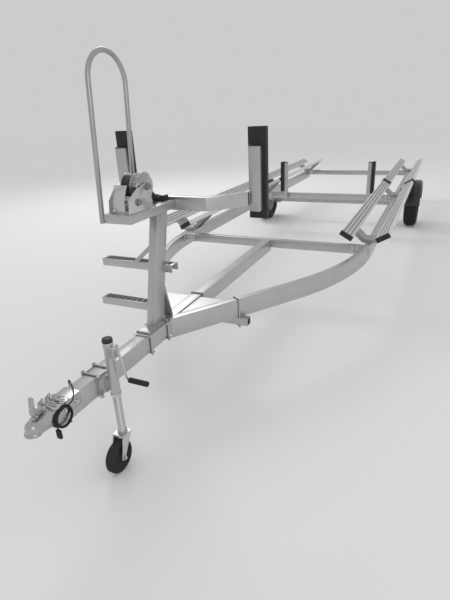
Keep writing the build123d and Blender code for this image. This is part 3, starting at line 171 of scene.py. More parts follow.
def galvanised(name, base=0.5, rough=0.4, spangle=75.0):
    # hot-dip zinc: crystals of differing grey, a duller bloom in patches
    bloomScale = 14.0
    finish = Finish(name, Metallic=0.88)
    crystals = finish.node(
        "ShaderNodeTexVoronoi", {"feature": "F1"}, {"Vector": finish.place, "Scale": spangle}, "Color"
    )
    level = finish.node("ShaderNodeSeparateColor", {}, {"Color": crystals}, "Red")
    bloom = finish.noise(bloomScale, detail=4.0)
    tone = finish.mix(level * 0.6 + bloom * 0.4, grey(base * 0.78), grey(base * 1.25, -0.015))
    finish.drive(Base_Color=tone, Roughness=rough - 0.08 + level * 0.12 + bloom * 0.12)
    finish.bump(level * 0.4 + bloom, 0.0003, 0.3)
    return finish.material


def zincPlate(name, base, rough):
    # smooth plated steel with a slight iridescent stain and handling marks
    cloudScale, markScale = 22.0, (320, 40, 320)
    finish = Finish(name, Metallic=0.95)
    cloud = finish.noise(cloudScale, detail=3.0)
    marks = finish.noise(1.0, 2.0, finish.stretched(markScale))
    tone = finish.mix(cloud, (base * 1.03, base, base * 0.93, 1), (base * 0.92, base * 0.98, base * 1.06, 1))
    finish.drive(Base_Color=tone, Roughness=rough + cloud * 0.12 + marks * 0.08)
    finish.bump(marks * 0.5 + cloud * 0.3, 0.0003, 0.25)
    return finish.material


def mouldedPlastic(name, colour, rough=0.46, grain=900.0, depth=0.0004, dust=0.25):
    # moulded or gritted black: fine grain, a film of dust in patches, paler scuffs
    filmScale, dustTone = 9.0, 0.045
    finish = Finish(name, Specular_IOR_Level=0.45)
    pebble = finish.noise(grain, detail=1.0)
    film = finish.noise(filmScale, detail=5.0, rough=0.65)
    dusty = tuple(channel + dustTone for channel in colour) + (1,)
    tone = finish.mix(film * dust, colour + (1,), dusty)
    finish.drive(Base_Color=tone, Roughness=rough - 0.06 + film * 0.16)
    finish.bump(pebble, depth, 0.35)
    return finish.material


def fenderGloss():
    # black gelled plastic under a thin shine, with dust and splashes
    filmScale, speckScale, speckLevel, rippleScale = 6.0, 240.0, 0.66, 60.0
    finish = Finish("fenderGloss", Coat_Roughness=0.06, Specular_IOR_Level=0.5)
    film = finish.noise(filmScale, detail=5.0, rough=0.6)
    specks = finish.noise(speckScale, detail=2.0) > speckLevel
    tone = finish.mix(film * 0.3 + specks * 0.2, (0.006, 0.006, 0.007, 1), (0.026, 0.025, 0.024, 1))
    finish.drive(Base_Color=tone, Roughness=0.24 + film * 0.2, Coat_Weight=0.6 - film * 0.3)
    finish.bump(finish.noise(rippleScale, detail=2.0), 0.0005, 0.12)
    return finish.material


# the bunk boards' section, in metres and radians
board = {
    "railX": 0.910, "gap": 0.088, "lowEdge": 0.656, "tilt": math.radians(30), "width": 0.110,
    "thickness": 0.038, "edge": 0.004, "ribPitch": 0.010, "ribDepth": 0.0028, "ribsInBand": 3,
}


def ribbedBoard():
    # bright extrusion: worn ridges along the board, and painted shade down in the grooves between them
    stainScale, wearScale = 5.0, (200, 3, 200)
    finish = Finish("ribbedBoard", Metallic=0.3)
    sideways = finish.node("ShaderNodeSeparateXYZ", {}, {"Vector": finish.place}, "X")
    fromRail = sideways.applied("ABSOLUTE") - board["railX"]
    outwards = fromRail.applied("ABSOLUTE") - board["gap"]
    upwards = sideways.sibling("Z") - board["lowEdge"]
    across = outwards * math.cos(board["tilt"]) + upwards * math.sin(board["tilt"])
    depth = upwards * math.cos(board["tilt"]) - outwards * math.sin(board["tilt"])
    onTop = (depth > -board["ribDepth"]) * (across > board["edge"])
    turn = 2 * math.pi / board["ribPitch"]
    wave = (across * turn).applied("COSINE")
    ramp = finish.node("ShaderNodeMapRange", {"interpolation_type": "SMOOTHSTEP"}, {0: wave, 1: -0.2, 2: 0.35})
    # groove marks the grooves on the top face, where shade is painted
    groove = ramp * onTop * (board["width"] - board["edge"] - across > 0)
    stains = finish.noise(stainScale, detail=5.0)
    wear = finish.noise(1.0, 3.0, finish.stretched(wearScale))
    tone = finish.mix(stains * 0.5 + wear * 0.5, grey(0.74), grey(0.95, -0.008))
    # every third rib or so is painted darker, a painted shade of its grooves, which is what shows from afar
    shadeBand = ((across * (turn / board["ribsInBand"])).applied("COSINE") > 0) * onTop
    tone = finish.mix(shadeBand * 0.45, tone, grey(0.16))
    # painted shade: the grooves are coloured dark, darkest under the painted shade bands
    tone = finish.mix(groove * (shadeBand * 0.6 + 0.35), tone, (0.07, 0.07, 0.08, 1))
    finish.drive(Base_Color=tone, Roughness=0.24 + wear * 0.2 + groove * 0.25)
    finish.bump(wear, 0.0003, 0.3)
    return finish.material


def tyreRubber(name, node):
    # worn black rubber: moulded rings on the sidewall, dust low in the tread
    dustScale, fineScale, ringScale, wallRadius, wallEdge = 26.0, 700.0, 900.0, 0.278, 60.0
    finish = Finish(name, Specular_IOR_Level=0.35)
    low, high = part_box(node)
    middle = [(a + b) / 2 for a, b in zip(low, high)]
    spoke = finish.stretched((0, 1, 1), (0, -middle[1], -middle[2]))
    radius = finish.node("ShaderNodeVectorMath", {"operation": "LENGTH"}, {0: spoke}, "Value")
    rings = (radius * ringScale).applied("SINE")
    dust = finish.noise(dustScale, detail=5.0, rough=0.6)
    fine = finish.noise(fineScale, detail=2.0)
    tone = finish.mix(dust, (0.016, 0.016, 0.017, 1), (0.055, 0.052, 0.048, 1))
    finish.drive(Base_Color=tone, Roughness=0.62 + dust * 0.25)
    onWall = finish.node("ShaderNodeClamp", {}, {"Value": (wallRadius - radius) * wallEdge})
    finish.bump(rings * onWall * 0.5 + fine * 0.4, 0.0006, 0.4)
    return finish.material


def softRubber(name, colour=(0.014, 0.014, 0.015)):
    filmScale, fineScale = 30.0, 500.0
    finish = Finish(name, Specular_IOR_Level=0.3)
    film = finish.noise(filmScale, detail=4.0)
    tone = finish.mix(film, colour + (1,), (0.06, 0.058, 0.055, 1))
    finish.drive(Base_Color=tone, Roughness=0.68 + film * 0.2)
    finish.bump(finish.noise(fineScale, detail=2.0), 0.0005, 0.4)
    return finish.material


def wovenWebbing():
    # black strap: warp ridges along it, weft across
    warpScale, weftScale, wearScale = 200.0, 160.0, 45.0
    finish = Finish("wovenWebbing", Sheen_Weight=0.25, Sheen_Roughness=0.5)
    warp = finish.waves("X", warpScale)
    weft = finish.waves("Z", weftScale)
    wear = finish.noise(wearScale, detail=4.0)
    tone = finish.mix(wear * 0.7 + warp * 0.3, (0.012, 0.012, 0.014, 1), (0.07, 0.069, 0.07, 1))
    finish.drive(Base_Color=tone, Roughness=0.72 + wear * 0.2)
    finish.bump(warp + weft, 0.0006, 0.6)
    return finish.material


def redLens():
    prismScale = 60.0
    finish = Finish("redLens", Coat_Roughness=0.05, Specular_IOR_Level=0.6, Coat_Weight=0.6)
    across = finish.waves("X", prismScale)
    up = finish.waves("Z", prismScale)
    depth = across * up
    tone = finish.mix(depth, (0.30, 0.004, 0.006, 1), (0.62, 0.02, 0.02, 1))
    finish.drive(Base_Color=tone, Roughness=0.14 + depth * 0.12)
    finish.bump(across + up, 0.0007, 0.5)
    return finish.material


materials = {
    "alongY": millAluminium("millAluminiumLengthwise", "y"),
    "alongX": millAluminium("millAluminiumCrosswise", "x"),
    "alongZ": millAluminium("millAluminiumUpright", "z", 0.54),
    "hoop": millAluminium("hoopTube", "z", 0.48, 0.3),
    "plate": millAluminium("millAluminiumPlate", "x", 0.6, 0.34),
    # a darker copy of the plate aluminium for the saddles: painted shade on their webs
    "saddle": millAluminium("saddlePlateShaded", "x", 0.44, 0.4),
    "board": ribbedBoard(),
    "galvanised": galvanised("galvanisedSteel"),
    "galvanisedFine": galvanised("galvanisedFittings", 0.48, 0.32, 160.0),
    "coupler": zincPlate("brightCoupler", 0.5, 0.18),
    "zinc": zincPlate("zincPlate", 0.66, 0.15),
    "zincDull": zincPlate("zincPlateDull", 0.58, 0.34),
    # a darker copy of the plated zinc for the winch's shaft nuts: painted shade round them
    "shaftNut": zincPlate("zincPlateShaded", 0.36, 0.3),
    "blackPlastic": mouldedPlastic("blackPlastic", (0.02, 0.02, 0.022)),
    "padPlastic": mouldedPlastic("padPlastic", (0.012, 0.012, 0.014), 0.52, 420.0, 0.0006, 0.4),
    "grit": mouldedPlastic("stepGrit", (0.10, 0.10, 0.105), 0.72, 1400.0, 0.0008, 0.5),
    "fender": fenderGloss(),
    "tyreLeft": tyreRubber("tyreRubberLeft", "tyre_left"),
    "tyreRight": tyreRubber("tyreRubberRight", "tyre_right"),
    "rubber": softRubber("stopRubber"),
    "cable": softRubber("cableJacket", (0.018, 0.018, 0.02)),
    "webbing": wovenWebbing(),
    "lens": redLens(),
}
nodeMaterials = {
    "alongY": "tongue_beam rail_left rail_right winch_platform junction_gussets",
    "alongX": "cross_tube crossmember_front crossmember_mid crossmember_rear bow_bar boarding_steps",
    "alongZ": "winch_post post_brace guide_posts bow_pad_posts step_strip",
    "hoop": "hand_hoop",
    "plate": "post_foot crossmember_brackets",
    "saddle": "bunk_saddles",
    "board": "bunk_boards_left bunk_boards_right",
    "galvanised": "axle_beam leaf_springs spring_hangers fender_brackets rim_left rim_right",
    "galvanisedFine": "frame_u_bolts foot_u_bolts hub_left hub_right tie_down_left tie_down_right "
    "jack_bracket coupler_latch safety_chains",
    "coupler": "coupler",
    "zinc": "winch_frame winch_drum jack_fork jack_crank",
    "zincDull": "jack_tube jack_leg",
    "blackPlastic": "jack_cap end_caps wiring_gland",
    "padPlastic": "bow_pads guide_pads",
    "fender": "fenders",
    "tyreLeft": "tyre_left",
    "tyreRight": "tyre_right",
    "rubber": "bow_stop jack_wheel",
    "webbing": "strap_roll strap_tail",
    "cable": "wiring_cable wiring_coil wiring_plug",
    "lens": "tail_lights",
}
finishOf = {node: finishName for finishName, names in nodeMaterials.items() for node in names.split()}
for node, finishName in finishOf.items():
    nodes[node].data.materials.clear()
    nodes[node].data.materials.append(materials[finishName])
print("materials made,", len(materials))

# places that the pieces share: the first three in metres, the others in millimetres from the junction
trailer = {
    "junctionY": -3.175,
    "top": 0.530,
    "wheel": (1.1, 1.925, 0.305),
    "railX": 910,
    "axleY": 5100,
    "crossY": (2030, 4465, 6895),
}
bodyOf = {}
for bodyName, members in frame["record"]["behaviour"]["bodies"].items():
    for member in members:
        bodyOf[member] = bodyName


def onFrame(x, y, z):
    # a point in millimetres from the tongue's middle, the junction and the frame's top
    return Vector((x / 1000, trailer["junctionY"] + y / 1000, trailer["top"] + z / 1000))


def only(*pieces):
    if bpy.context.object and bpy.context.object.mode != "OBJECT":
        bpy.ops.object.mode_set(mode="OBJECT")
    bpy.ops.object.select_all(action="DESELECT")
    for piece in pieces:
        piece.select_set(True)
        bpy.context.view_layer.objects.active = piece


def primitive(shape, name, **sizes):
    only()
    getattr(bpy.ops.mesh, "primitive_" + shape + "_add")(**sizes)
    bpy.ops.object.transform_apply(location=True, rotation=True, scale=True)
    bpy.context.object.name = name
    return bpy.context.object


def block(name, low, high):
    middle = (Vector(low) + Vector(high)) / 2
    return primitive("cube", name, size=1, location=middle, scale=Vector(high) - Vector(low))


def anything(element):
    return True


def topFace(face):
    return face.normal.z > 0.9


def shaped(piece, kind, test, *steps):
    # selects faces or verts by a test, then takes each edit-mode step on them
    only(piece)
    bpy.ops.object.mode_set(mode="EDIT")
    bpy.ops.mesh.select_mode(type={"faces": "FACE", "verts": "VERT"}[kind])
    bpy.ops.mesh.select_all(action="DESELECT")
    mesh = bmesh.from_edit_mesh(piece.data)
    for element in getattr(mesh, kind):
        if test(element):
            element.select_set(True)
    bmesh.update_edit_mesh(piece.data)
    for operator, settings in steps:
        operator(**settings)
    bpy.ops.object.mode_set(mode="OBJECT")
    return piece


def modified(piece, kind, **settings):
    only(piece)
    modifier = piece.modifiers.new(kind.lower(), kind)
    for key, value in settings.items():
        setattr(modifier, key, value)
    bpy.ops.object.modifier_apply(modifier=modifier.name)
    return piece


def rounded(piece, width, segments, angle=30):
    return modified(
        piece, "BEVEL", width=width, segments=segments, limit_method="ANGLE", angle_limit=math.radians(angle)
    )


def joined(name, pieces):
    only(*pieces)
    if len(pieces) > 1:
        bpy.ops.object.join()
    bpy.ops.object.transform_apply(location=True, rotation=True, scale=True)
    bpy.context.object.name = name
    return bpy.context.object


def twinOf(piece, name="twin"):
    twin = piece.copy()
    twin.data = piece.data.copy()
    twin.name = name
    bpy.context.scene.collection.objects.link(twin)
    return twin


def scattered(model, name, places):
    # copies of a piece, each with its foot at a point and its Z axis along a direction
    made = []
    for point, direction in places:
        twin = twinOf(model)
        turn = Vector((0, 0, 1)).rotation_difference(Vector(direction)).to_matrix().to_4x4()
        twin.matrix_world = Matrix.Translation(point) @ turn
        made.append(twin)
    bpy.data.objects.remove(model)
    return joined(name, made)


def turnedAbout(piece, name, count, centre, axis):
    # copies turned evenly about an axis, the first where the piece stands
    made = [piece]
    for index in range(1, count):
        twin = twinOf(piece)
        turn = Matrix.Rotation(2 * math.pi * index / count, 4, axis)
        twin.matrix_world = Matrix.Translation(centre) @ turn @ Matrix.Translation(-Vector(centre))
        made.append(twin)
    return joined(name, made)


def mirroredX(piece, name):
    # the same piece on the trailer's other side
    twin = twinOf(piece, name)
    twin.matrix_world = Matrix.Scale(-1, 4, (1, 0, 0))
    only(twin)
    bpy.ops.object.transform_apply(location=True, rotation=True, scale=True)
    return shaped(twin, "faces", anything, (bpy.ops.mesh.normals_make_consistent, {"inside": False}))


def wire(name, points):
    # straight runs from point to point, drawn by extruding one vertex
    piece = primitive("plane", name, size=0.001, location=points[0])
    only(piece)
    bpy.ops.object.mode_set(mode="EDIT")
    bpy.ops.mesh.select_mode(type="VERT")
    bpy.ops.mesh.select_all(action="SELECT")
    bpy.ops.mesh.merge(type="CENTER")
    for before, after in zip(points, points[1:]):
        bpy.ops.mesh.extrude_region_move(TRANSFORM_OT_translate={"value": Vector(after) - Vector(before)})
    bpy.ops.mesh.select_all(action="SELECT")
    return piece


def bentRod(name, points, radius, bend=0.0):
    # a round rod along straight runs, their corners rounded where a bend is given
    wire(name, points)
    if bend:
        bpy.ops.mesh.bevel(offset=bend, segments=4, affect="VERTICES")
    bpy.ops.object.mode_set(mode="OBJECT")
    bpy.ops.object.convert(target="CURVE")
    rod = bpy.context.object
    rod.data.bevel_depth = radius
    rod.data.bevel_resolution = 3
    rod.data.use_fill_caps = True
    bpy.ops.object.convert(target="MESH")
    rod = bpy.context.object
    rod.name = name
    return rod


def turned(name, profile, centre, axis=(1, 0, 0), steps=32, sweep=360):
    # a lathed piece: its profile is (along the axis, radius) in metres, spun about the axis
    along = Vector(axis).normalized()
    outwards = Vector((0, 0, 1)) if abs(along.z) < 0.5 else Vector((0, 1, 0))
    points = [Vector(centre) + along * distance + outwards * radius for distance, radius in profile]
    piece = wire(name, points)
    bpy.ops.mesh.spin(steps=steps, angle=math.radians(sweep), center=centre, axis=along)
    bpy.ops.mesh.select_all(action="SELECT")
    bpy.ops.mesh.remove_doubles(threshold=0.00002)
    bpy.ops.mesh.normals_make_consistent(inside=False)
    bpy.ops.object.mode_set(mode="OBJECT")
    return piece


def finished(piece, body, finish, replaced=(), smooth=35):
    only(piece)
    bpy.ops.object.transform_apply(location=True, rotation=True, scale=True)
    bpy.ops.object.shade_smooth_by_angle(angle=math.radians(smooth))
    piece.data.materials.clear()
    piece.data.materials.append(materials[finish])
    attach(piece, body)
    if replaced:
        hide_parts(*replaced)
    return piece


# the frame's own parts with their edges rounded or rolled: width in millimetres, then steps
softEdges = {
    "tongue_beam": (2.4, 3), "rail_left": (2.4, 3), "rail_right": (2.4, 3),
    "crossmember_front": (1.9, 2), "crossmember_mid": (1.9, 2), "crossmember_rear": (1.9, 2),
    "cross_tube": (1.9, 2), "winch_post": (2.4, 3), "bow_bar": (1.9, 3), "bow_pad_posts": (1.9, 2),
    "guide_posts": (1.9, 2), "winch_platform": (1.6, 2), "boarding_steps": (1.6, 2), "step_strip": (0.8, 1),
    "post_brace": (0.8, 1), "post_foot": (1.2, 1), "junction_gussets": (0.8, 1),
    "crossmember_brackets": (0.9, 1), "bunk_saddles": (0.9, 1), "bunk_boards_left": (0.4, 1),
    "bunk_boards_right": (0.4, 1), "end_caps": (1.6, 2), "winch_frame": (0.9, 2), "winch_drum": (0.15, 1),
    "strap_roll": (1.5, 2), "strap_tail": (0.6, 1), "fenders": (1.2, 2), "fender_brackets": (1.4, 1),
    "coupler": (2.2, 3), "coupler_latch": (1.4, 2), "safety_chains": (1.5, 3), "jack_bracket": (1.2, 1),
    "jack_tube": (1.0, 2), "jack_cap": (3.0, 3), "jack_fork": (1.0, 1), "jack_wheel": (1.6, 2),
    "tail_lights": (2.5, 3), "tie_down_left": (1.2, 1), "tie_down_right": (1.2, 1), "rim_left": (0.7, 1),
    "rim_right": (0.7, 1), "hub_left": (1.0, 1), "hub_right": (1.0, 1), "axle_beam": (2.0, 2),
    "leaf_springs": (0.9, 1), "spring_hangers": (0.9, 1), "bow_pads": (4.0, 3), "guide_pads": (4.0, 3),
    "bow_stop": (3.0, 3), "wiring_gland": (1.0, 2), "hand_hoop": (0.5, 1), "foot_u_bolts": (0.8, 1),
    "frame_u_bolts": (0.8, 1), "jack_crank": (0.8, 1), "jack_leg": (0.8, 1),
}
for node, (width, segments) in softEdges.items():
    pieceName = node.replace("_", " ").title().replace(" ", "") + "Rounded"
    softPiece = bpy.data.objects.new(pieceName, nodes[node].data.copy())
    bpy.context.scene.collection.objects.link(softPiece)
    shaped(
        softPiece, "verts", anything,
        (bpy.ops.mesh.remove_doubles, {"threshold": 0.00001}),
        (bpy.ops.mesh.dissolve_limited, {"angle_limit": math.radians(0.4)}),
    )
    rounded(softPiece, width / 1000, segments)
    finished(softPiece, bodyOf[node], finishOf[node], [node])
print("edges softened")

# the lamps' lead: out of the tongue's side, over the sleeve and into a coil hung on the coupler's bolt;
# the coil's strands lie a diameter apart, each turn a quarter further round the bundle
wiring = {
    "route": (
        (-50, -575, -48), (-64, -576, -34), (-66, -581, -2), (-46, -592, 24), (-12, -612, 7),
        (22, -640, 11), (48, -668, 13), (62, -690, 2), (57, -707, -7),
    ),
    "coilMiddle": (52.5, -745, -50),
    "coilRadius": 46.5,
    "strandOffset": 4.67,
    "firstPhase": 45,
    "phasePerTurn": 90,
    "firstAngle": 70,
    "lastAngle": 1270,
    "step": 20,
    "plugLead": ((50, -793.5, -66), (52.5, -791.5, -77), (52.5, -791.5, -84), (52.5, -791.5, -90)),
    "diameter": 0.006,
    "length": 1.26,
}


def leadPoints():
    points = list(wiring["route"])
    x, y, z = wiring["coilMiddle"]
    offset, first, step = wiring["strandOffset"], wiring["firstAngle"], wiring["step"]
    for angle in range(first, wiring["lastAngle"], step):
        phase = math.radians(wiring["firstPhase"] - wiring["phasePerTurn"] * (angle - first) / 360)
        radius = (wiring["coilRadius"] + offset * math.sin(phase)) / math.cos(math.radians(step / 2))
        turn = math.radians(angle)
        points.append((x + offset * math.cos(phase), y + radius * math.cos(turn), z + radius * math.sin(turn)))
    return points + list(wiring["plugLead"])


def addWiring():
    points = leadPoints()
    curve = bpy.data.curves.new("wiringLead", "CURVE")
    curve.dimensions = "3D"
    spline = curve.splines.new("NURBS")
    spline.points.add(len(points) - 1)
    for control, point in zip(spline.points, points):
        control.co = (*onFrame(*point), 1)
    spline.order_u = 3
    spline.use_endpoint_u = True
    curve.resolution_u = 6
    curve.bevel_depth = wiring["diameter"] / 2
    curve.bevel_resolution = 4
    curve.use_fill_caps = True
    curve.materials.append(materials["cable"])
    lead = bpy.data.objects.new("wiringLead", curve)
    bpy.context.scene.collection.objects.link(lead)
    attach(lead, "trailer")
    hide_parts("wiring_cable", "wiring_coil")
    tuple(onFrame(*wiring["route"][0]))
    addPlug()


# a flat four-way plug, in metres: tapered grip with ribs, stepped nose with its sockets
plug = {
    "topInset": 0.002, "topDrop": 0.004, "noseInset": 0.0015, "noseDepth": 0.003, "edge": 0.0012,
    "ribs": 5, "firstRib": 0.010, "ribPitch": 0.0042, "ribHalf": 0.0009, "ribProud": 0.0006, "ribShort": 0.0008,
    "sockets": 4, "socketPitch": 0.0052, "socketRadius": 0.0021, "socketLength": 0.008,
    "socketWall": 0.0006, "socketBore": 0.005, "socketSink": 0.0045,
}


def addPlug():
    low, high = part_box("wiring_plug")
    middle = (Vector(low) + Vector(high)) / 2
    body = block("wiringPlug", low, high)
    shaped(
        body, "faces", topFace,
        (bpy.ops.mesh.inset, {"thickness": plug["topInset"]}),
        (bpy.ops.transform.translate, {"value": (0, 0, -plug["topDrop"])}),
    )
    shaped(
        body, "faces", lambda face: face.normal.z < -0.9,
        (bpy.ops.mesh.inset, {"thickness": plug["noseInset"]}),
        (bpy.ops.mesh.extrude_region_move, {"TRANSFORM_OT_translate": {"value": (0, 0, plug["noseDepth"])}}),
    )
    rounded(body, plug["edge"], 2)
    ribs = []
    half, proud, short = plug["ribHalf"], plug["ribProud"], plug["ribShort"]
    for index in range(plug["ribs"]):
        height = high[2] - plug["firstRib"] - index * plug["ribPitch"]
        ribLow = (low[0] + short, low[1] - proud, height - half)
        ribHigh = (high[0] - short, high[1] + proud, height + half)
        ribs.append(rounded(block("rib", ribLow, ribHigh), proud, 2))
    model = primitive("cylinder", "socket", vertices=16, radius=plug["socketRadius"], depth=plug["socketLength"])
    shaped(
        model, "faces", topFace,
        (bpy.ops.mesh.inset, {"thickness": plug["socketWall"]}),
        (bpy.ops.mesh.extrude_region_move, {"TRANSFORM_OT_translate": {"value": (0, 0, -plug["socketBore"])}}),
    )
    first = middle.x - (plug["sockets"] - 1) / 2 * plug["socketPitch"]
    foot = low[2] + plug["socketSink"]
    sockets = scattered(model, "sockets", [
        (Vector((first + index * plug["socketPitch"], middle.y, foot)), (0, 0, -1)) for index in range(plug["sockets"])
    ])
    whole = joined("wiringPlug", [body, sockets] + ribs)
    return finished(whole, "trailer", "cable", ["wiring_plug"])


addWiring()
print("wiring laid")

# a washer, a hexagon with its corners turned off and a thread's end, as shares of the bolt's size
fastenerShape = {
    "washer": 1.15, "washerHeight": 0.2, "washerEdge": 0.06,
    "hexagon": 0.93, "hexagonHeight": 0.7, "corner": 0.13, "crown": 0.09,
    "thread": 0.5, "threadHeight": 0.5, "threadMiddle": 1.1, "threadEdge": 0.1,
}


def cylinder(name, vertices, radius, depth, height):
    return primitive("cylinder", name, vertices=vertices, radius=radius, depth=depth, location=(0, 0, height))


def fastener(size, nut=True):
    sized = {part: share * size for part, share in fastenerShape.items()}
    washer = cylinder("washer", 20, sized["washer"], sized["washerHeight"], sized["washerHeight"] / 2)
    rounded(washer, sized["washerEdge"], 1)
    seat = sized["washerHeight"] + sized["hexagonHeight"] / 2
    hexagon = cylinder("hexagon", 6, sized["hexagon"], sized["hexagonHeight"], seat)
    shaped(
        hexagon, "faces", topFace,
        (bpy.ops.mesh.inset, {"thickness": sized["corner"]}),
        (bpy.ops.transform.translate, {"value": (0, 0, sized["crown"])}),
    )
    pieces = [washer, hexagon]
    if nut:
        end = cylinder("thread", 14, sized["thread"], sized["threadHeight"], sized["threadMiddle"])
        pieces.append(rounded(end, sized["threadEdge"], 1))
    return joined("fastener", pieces)


def pair(*places):
    # the same places on both sides of the trailer
    return [*places, *(((-x, y, z), (-dx, dy, dz)) for (x, y, z), (dx, dy, dz) in places)]


def seated(name, model, places):
    return scattered(model, name, [(onFrame(*point), direction) for point, direction in places])


def fitted(name, model, places, node, finish="zinc"):
    return finished(seated(name, model, places), bodyOf[node], finish)


# bolts through the frame: sizes in metres, places in millimetres
frameBolts = {
    "size": 0.011,
    "heights": (-22, -54),
    "crossFront": 31.5,
    "bracketInsets": (35, 78),
    "bracketCorners": (875.2, 884.5, 884.5),
    "legInset": 6,
    "legAhead": 25,
    "railSides": ((928.1, -0.084), (935.5, 0), (935.5, 0)),
    "saddles": {"size": 0.010, "stations": (2200, 4465, 6895), "across": 43, "along": 50},
    "guidePosts": {"size": 0.011, "x": 573, "y": 4388.5, "heights": (-20, -56)},
    "springEyes": {"size": 0.013, "across": 30.5, "along": 330, "height": -154},
    "lights": {"size": 0.004, "x": 760, "across": 58, "y": 6965.5, "height": -38},
    "jackBracket": {"size": 0.010, "x": 46, "stations": (-500, -420), "heights": (6, -108)},
}


def addFrameBolts():
    bolts = frameBolts
    places = []
    for station, corner, (outside, slope) in zip(trailer["crossY"], bolts["bracketCorners"], bolts["railSides"]):
        face = station - bolts["crossFront"]
        for height in bolts["heights"]:
            for inset in bolts["bracketInsets"]:
                places.append(((corner - inset, face, height), (0, -1, 0)))
            places.append(((corner - bolts["legInset"], face - bolts["legAhead"], height), (-1, 0, 0)))
            places.append(((outside, face - bolts["legAhead"], height), (1, slope, 0)))
    fitted("crossmemberBolts", fastener(bolts["size"]), pair(*places), "crossmember_brackets")
    saddle, post, eye = bolts["saddles"], bolts["guidePosts"], bolts["springEyes"]
    light, bracket = bolts["lights"], bolts["jackBracket"]
    railX, axleY = trailer["railX"], trailer["axleY"]
    places = [
        ((railX + across * saddle["across"], station + along * saddle["along"], 0), (0, 0, -1))
        for station in saddle["stations"] for across in (-1, 1) for along in (-1, 1)
    ]
    fitted("saddleBolts", fastener(saddle["size"]), pair(*places), "bunk_saddles")
    places = [((post["x"], post["y"], height), (0, -1, 0)) for height in post["heights"]]
    fitted("guidePostBolts", fastener(post["size"], False), pair(*places), "guide_posts")
    places = [
        ((railX + side * eye["across"], axleY + end * eye["along"], eye["height"]), (side, 0, 0))
        for side in (-1, 1) for end in (-1, 1)
    ]
    fitted("springBolts", fastener(eye["size"]), pair(*places), "spring_hangers", "galvanisedFine")
    places = [((light["x"] + side * light["across"], light["y"], light["height"]), (0, 1, 0)) for side in (-1, 1)]
    fitted("lightScrews", fastener(light["size"], False), pair(*places), "tail_lights")
    places = [
        ((bracket["x"], station, height), (1, 0, 0))
        for station in bracket["stations"] for height in bracket["heights"]
    ]
    fitted("jackBracketNuts", fastener(bracket["size"]), pair(*places), "jack_bracket")


# U-bolts that clamp the springs to the axle: metres for radii and nuts, millimetres for the rest
axleClamps = {
    "legX": 28.5, "legY": 36, "low": -268, "high": -167, "radius": 0.005, "bend": 0.009,
    "plate": (42, 50, 8), "plateTop": -250.5, "plateEdge": 0.0015, "nut": 0.010,
}


def addAxleClamps():
    railX, axleY = trailer["railX"], trailer["axleY"]
    legX, legY, low, high = (axleClamps[key] for key in ("legX", "legY", "low", "high"))
    rods = []
    for along in (-legY, legY):
        corners = [
            onFrame(railX + x, axleY + along, z)
            for x, z in ((-legX, low), (-legX, high), (legX, high), (legX, low))
        ]
        rods.append(bentRod("rod", corners, axleClamps["radius"], axleClamps["bend"]))
    halfX, halfY, thick = axleClamps["plate"]
    top = axleClamps["plateTop"]
    plate = block(
        "plate", onFrame(railX - halfX, axleY - halfY, top - thick), onFrame(railX + halfX, axleY + halfY, top)
    )
    rounded(plate, axleClamps["plateEdge"], 2)
    nuts = seated("nuts", fastener(axleClamps["nut"]), [
        ((railX + x * legX, axleY + y * legY, top - thick), (0, 0, -1)) for x in (-1, 1) for y in (-1, 1)
    ])
    left = joined("axleClampLeft", [*rods, plate, nuts])
    right = mirroredX(left, "axleClampRight")
    for piece in (left, right):
        finished(piece, "trailer", "galvanisedFine")


# tyre: half its section in metres (from the middle of the tread, from the axle), its tread, its valve stem
tyre = {
    "section": (
        (0, 0.3045), (0.008, 0.3044), (0.0095, 0.3042), (0.0105, 0.2975), (0.0155, 0.2973), (0.0165, 0.3040),
        (0.030, 0.3030), (0.0385, 0.3022), (0.0395, 0.2955), (0.0445, 0.2950), (0.0455, 0.3008), (0.0600, 0.2985),
        (0.0700, 0.2935), (0.0770, 0.2860), (0.0825, 0.2730), (0.0865, 0.2550), (0.0878, 0.2440), (0.0888, 0.2425),
        (0.0888, 0.2385), (0.0880, 0.2370), (0.0880, 0.2150), (0.0850, 0.1980), (0.0780, 0.1860), (0.0680, 0.1795),
        (0.0612, 0.1788), (0.0567, 0.1786), (0.0567, 0.1653),
    ),
    "pitches": 60,
    "ribs": ((0.0165, 0.030), (0.0455, 0.0600), (0.0600, 0.0700), (0.0700, 0.0770)),
    "treadFrom": 0.28,
    "sipe": {"thickness": 0.0012, "depth": -0.0055},
    "stemFoot": (0.030, 0.149),
    "stem": (
        (0, 0), (0, 0.0065), (0.004, 0.0065), (0.007, 0.0042), (0.026, 0.0040), (0.0265, 0.0034),
        (0.028, 0.0050), (0.036, 0.0046), (0.0365, 0),
    ),
}


